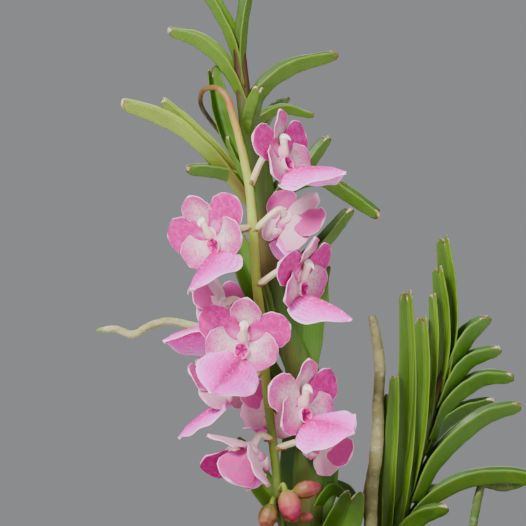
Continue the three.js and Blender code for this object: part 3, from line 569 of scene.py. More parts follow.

# Each leaf: its route from inside the stem, then how it folds, how yellow it is and how brown its foot is;
# how yellow (tone) is partly the leaf's own colour and partly painted shade: leaves lying in shadow get a
# low, dark tone
VIEWED = dict(channel=(-0.5, -1, 0), tone=0.7)
MAIN_LEAVES = [
    dict(path=[(-20, 0, 218), (-22, 0.5, 228), (-25.5, 1, 236), (-32.6, 2, 246.5), (-46.7, 4, 261.2)],
         arm=4, channel=(1, -0.5, 0.6), tone=0.6, foot=0.4),
    dict(path=[(-20, 0, 218), (-20.4, -0.5, 228), (-19.3, -1, 238), (-16.3, 0, 251), (-10, 1, 261.5)],
         arm=3.5, channel=(-1, -0.6, 0.3), tone=0.6, foot=0.4),
    dict(path=[(-19, 0, 213), (-22.6, 0, 220.8), (-26.6, 0, 226.2), (-31.6, 0.5, 230), (-38.2, 1, 232)],
         arm=4.4, tone=0.7),
    dict(path=[(-19, 0, 210), (-17, 0, 214.8), (-14, 0, 218.8), (-8, 1, 223), (2.8, 2, 226)], arm=4.8,
         tone=0.65),
    dict(path=[(-19, 1, 198), (-23.4, 2, 204.5), (-26, 3, 212), (-28, 4, 222.2)], arm=5,
         channel=(0.4, -1, 0), tone=0.5),
    dict(path=[(-16.8, 0, 187), (-24.8, 0, 197.6), (-32.8, 0, 205.7), (-40.8, 0.5, 210.5), (-49.8, 1, 213.6)],
         arm=4.9, tone=0.95, foot=1.0),
    dict(path=[(-19.2, 1, 193.2), (-26, 2, 201.1), (-33, 3, 208), (-40.2, 4, 214.4)], arm=3.4, tone=0.9,
         foot=0.9),
    dict(path=[(-16, 0, 191.5), (-21, 0, 195), (-27, 0, 196.8), (-33.4, 0.5, 197.2)], tone=0.45),
    dict(path=[(-17, -1, 190), (-20, -3.5, 196), (-22.5, -4, 201), (-24, -4, 205)], arm=2, tone=0.5),
    dict(path=[(-18, -1, 205), (-18, -5, 209), (-17, -9, 213), (-16, -12, 217)], fold=40, arm=3, tone=0.6),
    dict(path=[(-18, 0, 206), (-15, 0, 210.5), (-10, 1, 212.5), (-3, 2, 211)], arm=3, tone=0.7),
    dict(path=[(-17, 2, 205), (-14, 5, 209.5), (-11.5, 8, 213), (-9, 10, 215)], arm=3, tone=0.55),
    dict(path=[(-15, 1, 186.5), (-10, 3, 193), (-4.7, 4, 197.3), (1.1, 5, 204.7)],
         channel=(-1, -0.5, 0.5), tone=0.5),
    dict(path=[(-15, 1, 185), (-8, 4, 193), (-1, 5, 195.2), (6, 5, 191.2), (13.5, 4, 186)], arm=4.5,
         tone=0.5),
    dict(path=[(-13, 1, 167.5), (-6, 4, 172.5), (0.4, 5, 178.7), (6.9, 6, 186.6)],
         channel=(-1, -0.5, 0.5), tone=0.5),
    dict(path=[(-10, -1, 153), (-12.5, -3, 159.5), (-14, -4, 165), (-15, -4.5, 169)], arm=2,
         channel=(1, -1, 0), tone=0.6),
    dict(path=[(-11.5, 1, 156), (-14.1, 3, 161.5), (-17.7, 4, 168.5), (-22.4, 5, 180.5)], fold=35,
         channel=(0.2, -1, 0.2), tone=0.55),
    dict(path=[(-4.6, 0, 139), (-5.3, -1, 150), (-5, -1.5, 159), (-3, -2, 166.5), (1, -2.5, 173)],
         arm=5.6, fold=12, tip=0.22, channel=(0, -1, 0), tone=0.42),
    dict(path=[(-6, 2, 135), (-10, 4, 141.5), (-14, 5, 147.5), (-18, 6, 156.5)], channel=(0.4, -1, 0.3),
         tone=0.5),
    dict(path=[(-4.5, 0, 102.5), (-4, -1, 112), (-3.5, -1.5, 121), (-2.5, -2, 131), (-0.5, -3, 141)],
         arm=7.6, fold=12, tip=0.22, channel=(0, -1, 0), tone=0.38),
    dict(path=[(-6, 3, 103), (-11, 5, 111.5), (-16, 6, 118), (-22, 7, 128)], fold=35,
         channel=(0.3, -1, 0.3), tone=0.7),
    dict(path=[(-4, 0, 103), (-1, -1, 112), (3, -2, 117), (6, -3, 115), (7.8, -4, 108.5)], tone=0.35),
    dict(path=[(-2, -1, 93), (1.5, -4, 102), (5, -7, 109), (7.6, -8.5, 115.8)], arm=5.4, fold=35,
         channel=(0.3, -1, 0.3), tone=0.5),
    dict(path=[(-6, 0, 92), (-11, -1, 99), (-21, -3, 100.5), (-31, -6, 96)], tone=0.4),
    dict(path=[(-5, -2, 92), (-2, -9, 99.5), (3, -17, 100), (7, -24, 97)], tone=0.4),
]
SECOND_LEAVES = [
    dict(path=[(31, 4, 145), (32.7, 3.5, 157), (32.4, 3, 168), (30.9, 2.5, 179.5)], arm=5, **VIEWED),
    dict(path=[(29.5, 4, 141), (31, 2, 153), (30.7, 0.5, 163), (29.4, 0, 172)], arm=4.2, **VIEWED),
    dict(path=[(27, 4, 133), (28, 1, 145), (28.5, -1, 156), (28, -1.5, 165.5)], arm=2.8, **VIEWED),
    dict(path=[(22, 4, 116), (24, 1, 126), (25.3, -1.5, 138), (25.7, -2.5, 149.5), (25.3, -3, 159.5)],
         arm=4.6, **VIEWED),
    dict(path=[(19, 4, 106), (20.4, 1.5, 117), (21.8, 0.5, 131), (22.2, -0.5, 148), (21.5, -1, 165.8)],
         arm=5, **VIEWED),
    dict(path=[(16.5, 4, 96), (16.6, 1.5, 106), (17.4, -1, 120), (18.2, -2, 134), (18.5, -2, 145)],
         arm=3.6, **VIEWED),
    dict(path=[(15.8, 4, 93), (15.2, 4, 103), (16, 3, 117), (16.7, 2.3, 131), (16.9, 2, 140.4)],
         arm=2.9, **VIEWED),
    dict(path=[(15.5, 4, 91), (14.2, 2.4, 101), (14.2, 1.4, 112), (14.7, 1.4, 128.5)], arm=3.6, **VIEWED),
    dict(path=[(31, 4, 144), (33.5, 4, 150), (37, 4, 155.6), (41.3, 4, 159.2)], arm=5.4),
    dict(path=[(29.5, 4, 137), (32.5, 4, 143.5), (37, 4, 149), (44, 4, 151.5)], arm=5),
    dict(path=[(27.5, 4, 129), (31, 4, 137), (36, 4, 142), (41, 4, 144.6), (47.2, 4, 144.7)], arm=5),
    dict(path=[(26, 5, 125), (29.5, 6, 131.5), (35, 7, 136), (42.5, 8, 138.4)], arm=4.6),
    dict(path=[(23.5, 4, 113), (28, 3, 122.8), (35, 2, 130.5), (42, 2, 135.4), (49, 2, 137.3)], arm=5.3),
    dict(path=[(20, 4, 104.6), (26, 3, 112.8), (35, 2, 118.4), (44, 2, 120), (52, 2, 119.2), (59, 2, 115)],
         arm=4.8),
    dict(path=[(18, 3, 99), (21, 0, 105.5), (25, -2, 110), (30.5, -3, 111.8)], arm=5.2),
    dict(path=[(17, 3, 94), (22, 0, 101), (29, -3, 102.5), (38, -6, 99)]),
]


def leaf(path, arm=LEAF_ARM, fold=LEAF_FOLD, tip=0.72, channel=(0, -0.15, 1), tone=0.4, foot=0.15):
    """A thick strap folded along its keel, with two unequal round lobes at its tip."""
    t = np.linspace(0, 1, LEAF_ROWS)[:, None]
    u = np.linspace(-1, 1, LEAF_COLUMNS)[None, :]
    origin, tangent, side, up = (a[:, None] for a in Route(path).frames(t.ravel(), channel))
    width = arm * (0.72 + 0.28 * np.minimum(1, 3 * t)) * (1 + (tip - 1) * smooth(0.68, 1.05, t))
    angle = np.radians(max(fold, 55) + (fold - max(fold, 55)) * np.minimum(1, 2.5 * t))
    crease = np.sqrt(u**2 + 0.012) - math.sqrt(0.012)
    low = width * np.sin(angle) * (crease - 0.5)
    thick = (0.35 + 0.95 * (1 - np.abs(u))) / np.cos(angle) ** 0.5
    thick = np.minimum(thick, width * np.sin(angle) * 0.8 * (1.12 - np.abs(u)))
    lobe = arm * 0.4 * tip * smooth(0.86, 1.0, t)
    peak = np.where(u > 0, 1.9, 1.4)
    reach = lobe * (peak * np.sin(math.pi / 2 * np.minimum(1, np.abs(u) / 0.5)) - 1)
    reach -= lobe * peak * 0.75 * np.clip((np.abs(u) - 0.5) / 0.5, 0, 1) ** 2
    ripple = 0.16 * wobble(t * 6 + tone * 9, u * 1.5) * smooth(0.1, 0.4, t)

    def face(lift):
        across = width * np.cos(angle) * u
        rise = low + lift + ripple
        return origin + side * across[..., None] + up * rise[..., None] + tangent * reach[..., None]

    return blade(face(thick), face(0.0), t, u, tone=tone, mark=foot)


def make_shoot(name, stem, radii, leaves):
    body = tube(stem, radii, sides=24, rings=STEM_RINGS, rough=0.05, round_end=0.03, finish=1)
    shells = [body] + [leaf(**spec) for spec in leaves]
    piece(f"{name}_foliage", shells, [LEAF, STEM], "leaf_green", name)


# Blooms

PETAL = dict(length=11.3, width=9.4, widest=0.62, curl=-14, dish=0.1, layer=0.45)
LATERAL = dict(
    length=9.7, width=9.8, widest=0.55, curl=-14, dish=0.1, layer=-0.9, foot=0.6, rise=2.2, drop=1.2,
)
DORSAL = dict(length=10.1, width=7.8, widest=0.6, curl=8, dish=0.22, layer=-0.55)
LIP_LENGTH = 17
LIP_WIDTH = 15.5
LIP_DROP = 5.4
LIP_BASE = (0, -4.7, 2.3)
PETAL_ANGLE = 68
LATERAL_ANGLE = 120
LATERAL_CUP = 28.4
DORSAL_CUP = 12.4
TEPAL_THICKNESS = 0.68
NECK_DISTANCE = 4
HUB_DISTANCE = 1.3
TEPAL_ROWS = 26
TEPAL_COLUMNS = 21
LIP_ROWS = 36
LIP_COLUMNS = 33

BLOOMS = [
    dict(at=(-11.1, -17, 201.15), yaw=55, pitch=7, roll=-4, twist=12, lip_pitch=-6,
         joint=(-18, -13, 193.5)),
    dict(at=(-27.6, -20, 181.3), yaw=-28, pitch=-12, roll=-25, lip_yaw=-6, lip_pitch=-16, lip_size=1.04,
         joint=(-17.6, -13.4, 182.5)),
    dict(at=(-9, -11.5, 185), yaw=142, pitch=-35, roll=-25, lip_yaw=-30, lip_size=0.85, size=0.93,
         joint=(-17.5, -13.5, 181.5)),
    dict(at=(-6.2, -20.2, 171.1), yaw=58, pitch=-20, roll=-8, twist=12, lip_yaw=-3, lip_pitch=1.5,
         lip_size=0.95, joint=(-16.6, -14, 168)),
    dict(at=(-19.7, -22, 155.7), yaw=-8, pitch=-16, roll=8, lip_yaw=-15, lip_pitch=-14, lip_roll=16,
         lip_drop=0.4, lip_size=1.04, joint=(-15, -14, 154)),
    dict(at=(-25, -3.3, 163.4), yaw=-126, pitch=-20, roll=-4, size=0.92, lip_yaw=56, lip_pitch=-9,
         lip_size=1.05, joint=(-15.5, -14, 160)),
    dict(at=(-25.2, -7.4, 143.9), yaw=-126, pitch=-38, size=0.88, lip_yaw=16, lip_pitch=2, lip_roll=22,
         lip_drop=0.55, lip_size=1.05, joint=(-14.4, -14, 146)),
    dict(at=(-12.6, -10.2, 137.2), yaw=-174, pitch=-12, roll=-22, lip_yaw=8, lip_size=0.74, size=0.8,
         joint=(-13.8, -14, 139.5)),
    dict(at=(-6, -20, 139.6), yaw=46, pitch=-9, roll=-4, size=1.04, twist=9, left_skin=1, lip_yaw=-5,
         lip_pitch=5, lip_roll=-34, lip_drop=0.5, joint=(-13.5, -14, 138)),
    dict(at=(-0.3, -11.5, 129), yaw=140, pitch=-20, roll=-40, lip_size=0.45, size=0.85,
         joint=(-12, -14, 127.5)),
    dict(at=(-18.2, -17.5, 127.4), yaw=-76, pitch=-54, roll=12, size=1.13, lip_size=0.32, cup=58,
         joint=(-12.6, -14, 129.5)),
]


def tepal(shape, angle, cup, twist, seed, finish):
    """A sepal or petal round the bloom's centre, x to its right, y up and z forward."""
    t = 1 - (1 - np.linspace(0, 1, TEPAL_ROWS)[:, None]) ** 1.5
    v = np.linspace(-1, 1, TEPAL_COLUMNS)[None, :]
    widest = shape["widest"]
    foot = shape.get("foot", 0.3)
    rising = foot + (1 - foot) * np.sin(math.pi / 2 * np.minimum(1, t / widest))
    falling = np.sqrt(1 - 0.98 * np.clip((t - widest) / (1 - widest), 0, 1) ** 2)
    wave = 1 + 0.025 * np.sin(9 * t * math.pi + seed) * smooth(0.3, 0.8, t)
    heel = (1 - t) ** 1.6 * (1 + np.sign(angle) * v) / 2
    half = shape["width"] / 2 * np.where(t < widest, rising, falling) * wave
    reach = t * (1 - 0.025 * v**2 * t**4)
    tilt, normal = np.radians(cup + shape["curl"] * reach / 2), np.radians(cup + shape["curl"] * reach)
    frill = 0.32 * np.abs(v) ** 3 * smooth(0.25, 0.7, t) * np.sin(t * 11 + 2.4 * np.sign(v) + seed)
    crease = -0.22 * np.exp(-((v / 0.12) ** 2)) * (1 - t)
    turn, lean = math.radians(angle), math.radians(twist) * np.minimum(1, 2.5 * t)

    def face(lift):
        height = shape["dish"] * half * v**2 + frill + crease + lift * (1 - 0.75 * np.abs(v) ** 3)
        out = 1 + shape["length"] * reach * np.cos(tilt) - height * np.sin(normal)
        forward = shape["layer"] + shape["length"] * reach * np.sin(tilt) + height * np.cos(normal)
        across = half * v * np.cos(lean)
        return np.stack([
            out * math.sin(turn) + across * math.cos(turn),
            out * math.cos(turn) - across * math.sin(turn) - shape.get("drop", 0) * heel,
            forward + shape.get("rise", 0) * heel - half * v * np.sin(lean) * math.cos(turn),
        ], axis=-1)

    half_thick = TEPAL_THICKNESS / 2
    return blade(face(half_thick), face(-half_thick), t, v, tone=(seed * 0.37) % 1, finish=finish)


def rotation(pitch, yaw, roll):
    """Turns about x by pitch, y by yaw and z by roll, the last one first."""
    turns = [math.radians(q) for q in (pitch, yaw, roll)]
    a, b, c = (math.cos(q) for q in turns)
    s, t, u = (math.sin(q) for q in turns)
    about_x = np.array([[1, 0, 0], [0, a, -s], [0, s, a]])
    about_y = np.array([[b, 0, t], [0, 1, 0], [-t, 0, b]])
    about_z = np.array([[c, -u, 0], [u, c, 0], [0, 0, 1]])
    return about_x @ about_y @ about_z


def lip(lip_yaw=0, lip_pitch=0, lip_roll=0, lip_size=1, lip_drop=1, seed=0.0):
    """The lip's middle lobe: a broad keeled blade that falls away on both sides, with a toothed edge."""
    t = np.linspace(0, 1, LIP_ROWS)[:, None]
    v = np.linspace(-1, 1, LIP_COLUMNS)[None, :]
    widest = 0.36
    rising = 0.66 + 0.34 * np.sin(math.pi / 2 * np.minimum(1, t / widest))
    falling = 1 - 0.93 * np.clip((t - widest) / (1 - widest), 0, 1) ** (2.6 - 0.7 * lip_drop)
    share = np.where(t < widest, rising, falling)
    teeth = 1 + 0.014 * np.sin(95 * t + seed) + 0.02 * np.sin(23 * t + 2 * seed)
    half = LIP_WIDTH / 2 * share * np.where(np.abs(v) > 0.9, teeth, 1)
    fall = LIP_DROP * lip_drop * (1 - 0.5 * t) * share * np.abs(v) ** 1.3
    ridge = 0.55 * np.exp(-((v / 0.1) ** 2)) * smooth(0.02, 0.2, t) * (1 - smooth(0.75, 1, t))
    groove = -0.3 * np.exp(-(((np.abs(v) - 0.22) / 0.1) ** 2)) * (1 - t)
    frill = 0.35 * np.abs(v) ** 3 * np.sin(13 * t + 2 * np.sign(v) + seed) * smooth(0.1, 0.4, t)
    reach = LIP_LENGTH * t * (1 - 0.05 * v**2 * t**3)
    turn = rotation(-lip_pitch, lip_yaw, -lip_roll) * lip_size

    def face(lift):
        height = lift * (1 - 0.8 * np.abs(v) ** 3) - fall - 1.2 * t**3 + ridge + groove + frill
        points = np.stack([half * v, height, reach + 0 * v], axis=-1)
        return points @ turn.T + np.array(LIP_BASE)

    return blade(face(0.4), face(-0.35), t, v, tone=seed % 1, finish=2)


def flower_tube(points, radii, sides=20, rings=16, **marks):
    return tube(points, radii, sides, rings, (1, 0.02, 0), **marks)


def throat():
    """The lip's mouth: a shallow bowl between the lateral sepals, in front of the spur."""
    depth = np.linspace(0, 1, 12)[:, None]
    angle = np.linspace(0, 2 * math.pi, 24, endpoint=False)[None, :]
    outer, inner = 1.15 + 0.75 * depth, 0.25 + 1.5 * depth**0.7
    rows = []
    for radius, lift in ((outer, 2.6 * depth), (inner[::-1], 1.9 + 0.8 * depth[::-1] ** 1.5)):
        wide = radius * (1 + 0.06 * np.cos(5 * angle))
        rows.append(np.stack([wide * np.cos(angle), 1.15 * wide * np.sin(angle), lift + 0 * angle], axis=-1))
    rings = np.vstack(rows)
    along = np.concatenate([np.ones(12), np.linspace(0.95, 0, 12)])
    tilt = rotation(-14, 0, 0)
    return lofted(rings @ tilt.T + np.array([0, -3.6, 0.2]), along, finish=3)


def column_shells():
    """The cream column, broad at its foot, with its white cap and small beak."""
    body_route = [(0, -1.4, 1.7), (0, 0.8, 1.9), (0, 3.5, 2.0)]
    body = flower_tube(body_route, [0.9, 1.15, 1.1, 1.0, 0.9, 1.0, 0.8], rings=22)
    cap_route = [(0, 2.7, 2.2), (0, 3.6, 2.3), (0, 4.4, 2.7)]
    cap = flower_tube(cap_route, [0.8, 1.1, 1.2, 1.0, 0.4], rings=18, round_end=0.25)
    cap["surface"][:, 0] = 1.0
    beak = flower_tube([(0, 3.7, 2.4), (0, 3.3, 3.4), (0, 2.6, 4.1)], [0.8, 0.5, 0.1], sides=12, rings=10)
    beak["surface"][:, 0] = 0.95
    return [body, cap, beak]


def bloom_basis(at, yaw, pitch, roll, size):
    """The bloom's right, up and face directions as rows, scaled by its size, and its place."""
    yaw, pitch = math.radians(yaw), math.radians(pitch)
    (cy, sy), (cp, sp) = ((math.cos(q), math.sin(q)) for q in (yaw, pitch))
    face = np.array([sy * cp, -cy * cp, sp])
    right = turned(np.array([cy, sy, 0.0]), face, -roll)
    return np.array([right, np.cross(face, right), face]) * size, np.array(at, float)


def make_bloom(number, joint, at, yaw, pitch, roll=0, size=1, cup=8, twist=0, left_skin=0, **lip_turns):
    """Makes a bloom and gives the route of its pedicel, from its joint to its hub."""
    basis, place = bloom_basis(at, yaw, pitch, roll, size)
    seed = number * 1.7
    spur = [(0, -3.8, 0.1), (0, -5.2, 0.6), (0, -6.6, 1.5)]
    petals = ((-PETAL_ANGLE, left_skin), (PETAL_ANGLE, 0))
    laterals = ((-LATERAL_ANGLE, twist), (LATERAL_ANGLE, 0))
    lateral_cup = cup * 0.25 + LATERAL_CUP
    shells = [
        flower_tube([(0, 0, -1.5), (0, 0, 1.1)], [0.9, 2.1, 2.3, 1.6], finish=1),
        flower_tube([(0, -0.6, 0.1), (0, -3.4, 0.4)], [1.4, 1.5, 1.5], finish=1),
        flower_tube(spur, [1.4, 1.2, 0.9, 0.5], round_end=0.2, finish=1),
        throat(),
        tepal(DORSAL, 0, cup * 0.1 + DORSAL_CUP, twist, seed, 1),
        *(tepal(PETAL, angle, cup, 0, seed + angle, skin) for angle, skin in petals),
        *(tepal(LATERAL, angle, lateral_cup, turn, seed + angle, 1) for angle, turn in laterals),
        lip(seed=seed, **lip_turns),
    ]
    columns = column_shells()
    for made in shells + columns:
        made["points"] = made["points"] @ basis + place
    piece(f"bloom_{number}_flower", shells, [PETAL_SKIN, SEPAL_SKIN, LIP_SKIN, THROAT], "petal_pink",
          f"bloom_{number}_perianth")
    piece(f"bloom_{number}_column_cap", columns, [COLUMN], "column_cream", f"bloom_{number}_column")
    return joint, place - basis[2] * NECK_DISTANCE, place - basis[2] * HUB_DISTANCE


# Flower stalk, pedicels, bracts and buds

STALK = [
    (-17.5, 3.6, 200), (-21, 7, 203.2), (-25, 8, 206), (-28.4, 6.5, 210), (-30.7, -1, 214), (-30, -6, 217),
    (-26.5, -10, 217.5), (-24, -11.5, 215), (-22.5, -12, 210.5), (-20.5, -12.5, 203), (-18.5, -13, 193),
    (-17.5, -13.5, 181.5), (-16.5, -14, 168), (-15.2, -14, 156), (-14, -14, 142), (-13, -14, 133),
    (-12, -14, 124.5), (-11, -13.5, 114.5), (-10, -13, 105),
]
STALK_RADII = [*np.linspace(0.55, 0.6, 7), *np.linspace(0.75, 1.2, 7), *np.linspace(1.2, 1.1, 7), 0.7]
PEDICEL_RADIUS = 0.8
BUD_STALK_RADIUS = 0.6
BUD_STALK_SHADE = 0.78
BUD_TONES = [0.1, 0.55, 0.9, 0.4, 0.9, 0.6]

# Each bud: where its stalk starts, its base, its tip and its radius
BUDS = [
    ((-11, -13.6, 117), (-9.5, -17, 117.2), (-7, -18, 109.5), 2.9),
    ((-11, -13.5, 116), (-7.5, -12.5, 116.5), (-0.5, -12, 118), 2.3),
    ((-10.8, -13.5, 113.5), (-12.8, -17, 113.8), (-14.8, -18, 107.5), 2.5),
    ((-10.4, -13.2, 110), (-6.5, -11.5, 109.8), (-2.5, -11, 110.5), 1.5),
    ((-10.2, -13.1, 107.5), (-12.8, -14.8, 104), (-13.8, -15.1, 100.5), 1.3),
    ((-10, -13, 105.5), (-7.8, -14.8, 102), (-6.8, -15.3, 98.5), 1.2),
]


def pedicel(joint, neck, end, radius, finish=1):
    """A short curved stalk of its own for a bloom or bud, over a small pointed bract."""
    joint, neck, end = (np.array(p, float) for p in (joint, neck, end))
    stalk_radii = [radius * part for part in (1.15, 1, 1, 1.1, 1.25)]
    stalk = tube([joint, neck, end], stalk_radii, 16, 22, finish=finish)
    out = unit(neck - joint) * radius * 4 + np.array([0, 0, -1.5 * radius])
    bract_route = [joint, joint + out * 0.5 + np.array([0, 0, 0.2]), joint + out]
    bract_radii = [(radius * wide, radius * deep) for wide, deep in ((1.5, 1.2), (1.3, 0.9), (0.8, 0.5))]
    bract = tube(bract_route, bract_radii + [(0.12, 0.1)], 12, 12, (0, 0, 1), finish=2)
    return [stalk, bract]


def make_stalk(bloom_pedicels):
    shells = [tube(STALK, STALK_RADII, 18, 220, rough=0.06, round_end=0.01)]
    for ends in bloom_pedicels:
        shells += pedicel(*ends, PEDICEL_RADIUS)
    for joint, base, tip, _ in BUDS:
        back = unit(np.array(base, float) - tip)
        stalk, bract = pedicel(joint, base + back * 1.5, base - back * 0.2, BUD_STALK_RADIUS, 0)
        stalk["surface"][:, 0] = BUD_STALK_SHADE
        shells += [stalk, bract]
    piece("flower_stalk_and_pedicels", shells, [STALK_SKIN, PEDICEL, BRACT], "stalk_green", "flower_stalk")


def make_bud(number, tone, base, tip, radius):
    t = np.linspace(0, 1, 30)
    angle = np.linspace(0, 2 * math.pi, 36, endpoint=False)
    profile = np.interp(t, [0, 0.08, 0.25, 0.5, 0.75, 0.92, 1], [0.3, 0.55, 0.88, 1.0, 0.8, 0.46, 0.2])
    seams = 1 - 0.07 * np.exp(-((np.sin(1.5 * angle) / 0.16) ** 2))
    origin, _, side, up = Route([base, tip]).frames(t, (0.9, 0.3, 0.2))
    ring = side[:, None] * np.cos(angle)[None, :, None] + up[:, None] * np.sin(angle)[None, :, None]
    points = origin[:, None] + ring * (radius * profile[:, None] * seams[None, :])[..., None]
    made = lofted(points, t, tone=tone)
    piece(f"bud_{number}_sepals", [made], [BUD], "bud_pink", f"bud_{number}")


# Aerial roots

ROOTS = {
    "left": dict(points=[
        (-11.5, 4, 154), (-18, 9.5, 154.4), (-25, 11, 156.2), (-33, 10, 157.8), (-39, 9.5, 159),
        (-44, 9, 157.7), (-48, 8.5, 155.6), (-52.5, 8, 157), (-57.3, 7, 156.6),
    ], radii=[0.95] * 11 + [0.8, 0.45], tone=0.05, mark=1.0),
    "right": dict(points=[
        (12.5, 2, 160.5), (13.5, 2, 155.7), (14.5, 1, 147.5), (14, 0, 138), (14, -2.3, 133),
        (13.3, -3.7, 124.5), (12.1, -4.4, 116.5), (12, -5.4, 108), (12.5, -7, 97), (12, -8, 76),
    ], radii=[0.9, 1.25, 1.35, 1.4, 1.45, 1.5, 1.6, 1.7, 1.8, 1.8, 1.6, 1.4, 1.3], tone=0.45),
    "far_right": dict(points=[
        (22.5, 9.5, 117), (29, 11.5, 116.5), (39, 11.5, 118), (48, 10.5, 120), (52, 8, 119.5), (50, 5.5, 118),
        (46, 5, 117), (43, 5, 117.5), (40.7, 5, 117.8), (39.6, 5, 115), (38.3, 5, 108), (37, 5, 98),
        (36, 4, 76),
    ], radii=[1.1] * 18, tone=0.95),
    "front": dict(points=[(-6.5, -3.8, 99), (-9, -10, 98), (-12, -15, 90), (-13, -17, 76)],
                  radii=[1.15] * 6, tone=0.6),
    "back": dict(points=[(16, 7.2, 98), (12, 14, 98), (8, 19, 90), (7, 21, 76)], radii=[1.15] * 6, tone=0.6),
}


def make_root(name, points, radii, tone, mark=0.0):
    made = tube(points, radii, 18, 26 * len(points), rough=0.07, round_end=0.012, tone=tone, mark=mark)
    piece(f"aerial_root_{name}_skin", [made], [ROOT], "root_velamen", f"aerial_root_{name}")


# Pot and bark

POT_HEIGHT = 92
POT_TOP_RADIUS = 54
POT_FOOT_RADIUS = 37
POT_WALL = 4.5
POT_FLOOR = 6
RIM_HEIGHT = 18
RIM_STEP = 2.5
MEDIUM_TOP = 83
CHIPS = 210
POT_SIDES = 128
MEDIUM_SIDES = 64


def pot_radius(z):
    return POT_FOOT_RADIUS + (POT_TOP_RADIUS - POT_FOOT_RADIUS) * z / POT_HEIGHT


def inner_radius(z):
    """The inside of the pot's wall."""
    rise = (z - POT_FLOOR) / (POT_HEIGHT - 2 - POT_FLOOR)
    return pot_radius(POT_FLOOR) + (POT_TOP_RADIUS - pot_radius(POT_FLOOR)) * rise - POT_WALL


def turned_body(profile, sides):
    """A body of revolution round Z from (radius, height) points that start and end on the axis."""
    outline = np.array(profile, float)[1:-1]
    angle = np.linspace(0, 2 * math.pi, sides, endpoint=False)
    radius, height = (np.repeat(outline[:, k, None], sides, 1) for k in range(2))
    rings = np.stack([radius * np.cos(angle), radius * np.sin(angle), height], axis=-1)
    return lofted(rings, outline[:, 1] / POT_HEIGHT)


def fine(profile, step=2.0):
    """The profile with points added so that none are further apart than step."""
    made = [profile[0]]
    for (r0, z0), (r1, z1) in zip(profile, profile[1:]):
        count = max(1, int(math.hypot(r1 - r0, z1 - z0) / step))
        made += [(r0 + (r1 - r0) * k / count, z0 + (z1 - z0) * k / count) for k in range(1, count + 1)]
    return made


def make_pot():
    step_z = POT_HEIGHT - RIM_HEIGHT
    step_r = pot_radius(step_z)
    rim = POT_TOP_RADIUS + RIM_STEP
    mouth = POT_TOP_RADIUS - POT_WALL
    profile = [
        (0, 0.02), (POT_FOOT_RADIUS - 1.2, 0.02), (POT_FOOT_RADIUS - 0.3, 0.5), (POT_FOOT_RADIUS, 1.5),
        (step_r - 0.1, step_z - 0.6), (step_r + 0.4, step_z - 0.1),
        (step_r + RIM_STEP - 0.6, step_z + 0.2), (step_r + RIM_STEP, step_z + 1),
        (rim, POT_HEIGHT - 1.8), (rim - 0.5, POT_HEIGHT - 0.5), (rim - 1.7, POT_HEIGHT),
        (mouth + 1.2, POT_HEIGHT), (mouth + 0.3, POT_HEIGHT - 0.5), (mouth, POT_HEIGHT - 2),
        (pot_radius(POT_FLOOR) - POT_WALL, POT_FLOOR), (0, POT_FLOOR),
    ]
    body = turned_body(fine(profile), POT_SIDES)
    piece("pot_body", [body], [TERRACOTTA], "pot_terracotta", "pot")


def cube_surface(cells=4):
    """The points and squares of a cube's surface from -1 to 1."""
    ticks = np.linspace(-1, 1, cells + 1)
    box = np.array([[x, y, z] for z in ticks for y in ticks for x in ticks])
    index = {tuple(point): i for i, point in enumerate(box)}
    squares = []
    for axis in range(3):
        u, v = [k for k in range(3) if k != axis]
        for end in (-1.0, 1.0):
            for i in range(cells):
                for j in range(cells):
                    corners = []
                    for di, dj in ((0, 0), (1, 0), (1, 1), (0, 1)):
                        point = [0.0, 0.0, 0.0]
                        point[axis], point[u], point[v] = end, ticks[i + di], ticks[j + dj]
                        corners.append(index[tuple(point)])
                    outward = (end > 0) == (axis != 1)
                    squares.append(corners if outward else corners[::-1])
    used = sorted({i for square in squares for i in square})
    renumbered = {old: new for new, old in enumerate(used)}
    return box[used], [[renumbered[i] for i in square] for square in squares]


def chip(rng, cube, radius, angle, size):
    """A rough piece of bark: a cube with its corners drawn in, pushed out of shape and laid down."""
    points, squares = cube
    spread = np.linalg.norm(points, axis=1, keepdims=True)
    points = points * (1 - 0.35 * (spread - 1) / 0.73)
    phase = np.array([rng.uniform(0, 9) for _ in range(3)])
    points = points * (1 + 0.14 * wobble(points[:, :1] * 2 + phase[0], points[:, 1:2] * 2 + phase[1]))
    points = points * np.array([size / 2, size * rng.uniform(0.28, 0.42), size * rng.uniform(0.14, 0.24)])
    turn = rotation(rng.uniform(-28, 28), rng.uniform(-22, 22), rng.uniform(0, 360))
    lift = MEDIUM_TOP - 1.2 + rng.uniform(-1.0, 1.6)
    points = points @ turn.T + np.array([radius * math.cos(angle), radius * math.sin(angle), lift])
    return shell(points, squares, tone=rng.choice([0.05, 0.3, 0.5, 0.7, 0.95]))


def make_medium():
    floor = POT_FLOOR + 0.3
    profile = [
        (0, floor), (inner_radius(floor) - 0.6, floor), (inner_radius(MEDIUM_TOP - 3) - 0.4, MEDIUM_TOP - 3),
        (inner_radius(MEDIUM_TOP) - 6, MEDIUM_TOP - 2.4), (0.5, MEDIUM_TOP - 2.2), (0, MEDIUM_TOP - 2.2),
    ]
    shells = [turned_body(fine(profile, 4), MEDIUM_SIDES)]
    rng = random.Random(5469)
    cube = cube_surface()
    reach = inner_radius(MEDIUM_TOP) - 6.5
    golden = math.pi * (3 - math.sqrt(5))
    for i in range(CHIPS):
        size = rng.uniform(7, 14)
        shells.append(chip(rng, cube, reach * math.sqrt((i + 0.5) / CHIPS), i * golden, size))
    piece("growing_medium_bark", shells, [BARK], "potting_bark", "growing_medium")


# Floor and light, in metres

FLOOR_REACH = 1.5
BLOOM_CENTRE = (-0.015, -0.01, 0.17)


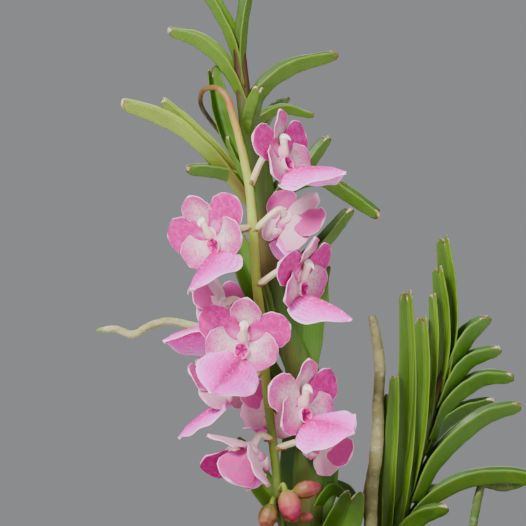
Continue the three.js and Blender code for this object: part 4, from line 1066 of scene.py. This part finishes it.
def make_stage():
    corners = [(x * FLOOR_REACH, y * FLOOR_REACH, 0) for x, y in ((-1, -1), (1, -1), (1, 1), (-1, 1))]
    mesh = bpy.data.meshes.new("floor")
    mesh.from_pydata(corners, [], [(0, 1, 2, 3)])
    mesh.materials.append(floor_finish())
    floor = bpy.data.objects.new("floor", mesh)
    bpy.context.scene.collection.objects.link(floor)


def make_light(name, place, aim, size, power):
    data = bpy.data.lights.new(name, "AREA")
    data.size = size
    data.energy = power
    light = bpy.data.objects.new(name, data)
    light.location = place
    light.rotation_euler = (Vector(aim) - Vector(place)).to_track_quat("-Z", "Y").to_euler()
    bpy.context.scene.collection.objects.link(light)


def make_lights():
    make_light("key", (-0.45, -0.85, 0.85), BLOOM_CENTRE, 0.35, 26)
    make_light("fill", (0.8, -0.9, 0.25), BLOOM_CENTRE, 0.8, 5)
    make_light("top", (0.1, 0.5, 0.95), BLOOM_CENTRE, 0.6, 8)
    world = bpy.data.worlds.new("studio")
    world.use_nodes = True
    world.node_tree.nodes["Background"].inputs["Color"].default_value = colour(226, 228, 230)
    world.node_tree.nodes["Background"].inputs["Strength"].default_value = 0.35
    bpy.context.scene.world = world


make_camera()
LEAF, STEM = leaf_finish(), stem_finish()
STALK_SKIN, PEDICEL, BRACT = stalk_finish(), pedicel_finish(), bract_finish()
PETAL_SKIN = tepal_finish("petal_pink", (196, 18, 136), (222, 130, 186), 0.3, (204, 84, 156))
SEPAL_SKIN = tepal_finish("sepal_pale", (206, 78, 156), (228, 204, 204), 0.8, (222, 170, 192))
LIP_SKIN, THROAT, COLUMN = lip_finish(), throat_finish(), column_finish()
BUD, ROOT, TERRACOTTA, BARK = bud_finish(), root_finish(), terracotta_finish(), bark_finish()

make_pot()
make_medium()
make_shoot("main_shoot", MAIN_STEM, MAIN_STEM_RADII, MAIN_LEAVES)
make_shoot("second_shoot", SECOND_STEM, SECOND_STEM_RADII, SECOND_LEAVES)
make_stalk([make_bloom(number, **spec) for number, spec in enumerate(BLOOMS, 1)])
for number, (tone, (_, *bud)) in enumerate(zip(BUD_TONES, BUDS), 1):
    make_bud(number, tone, *bud)
for name, spec in ROOTS.items():
    make_root(name, **spec)
make_stage()
make_lights()
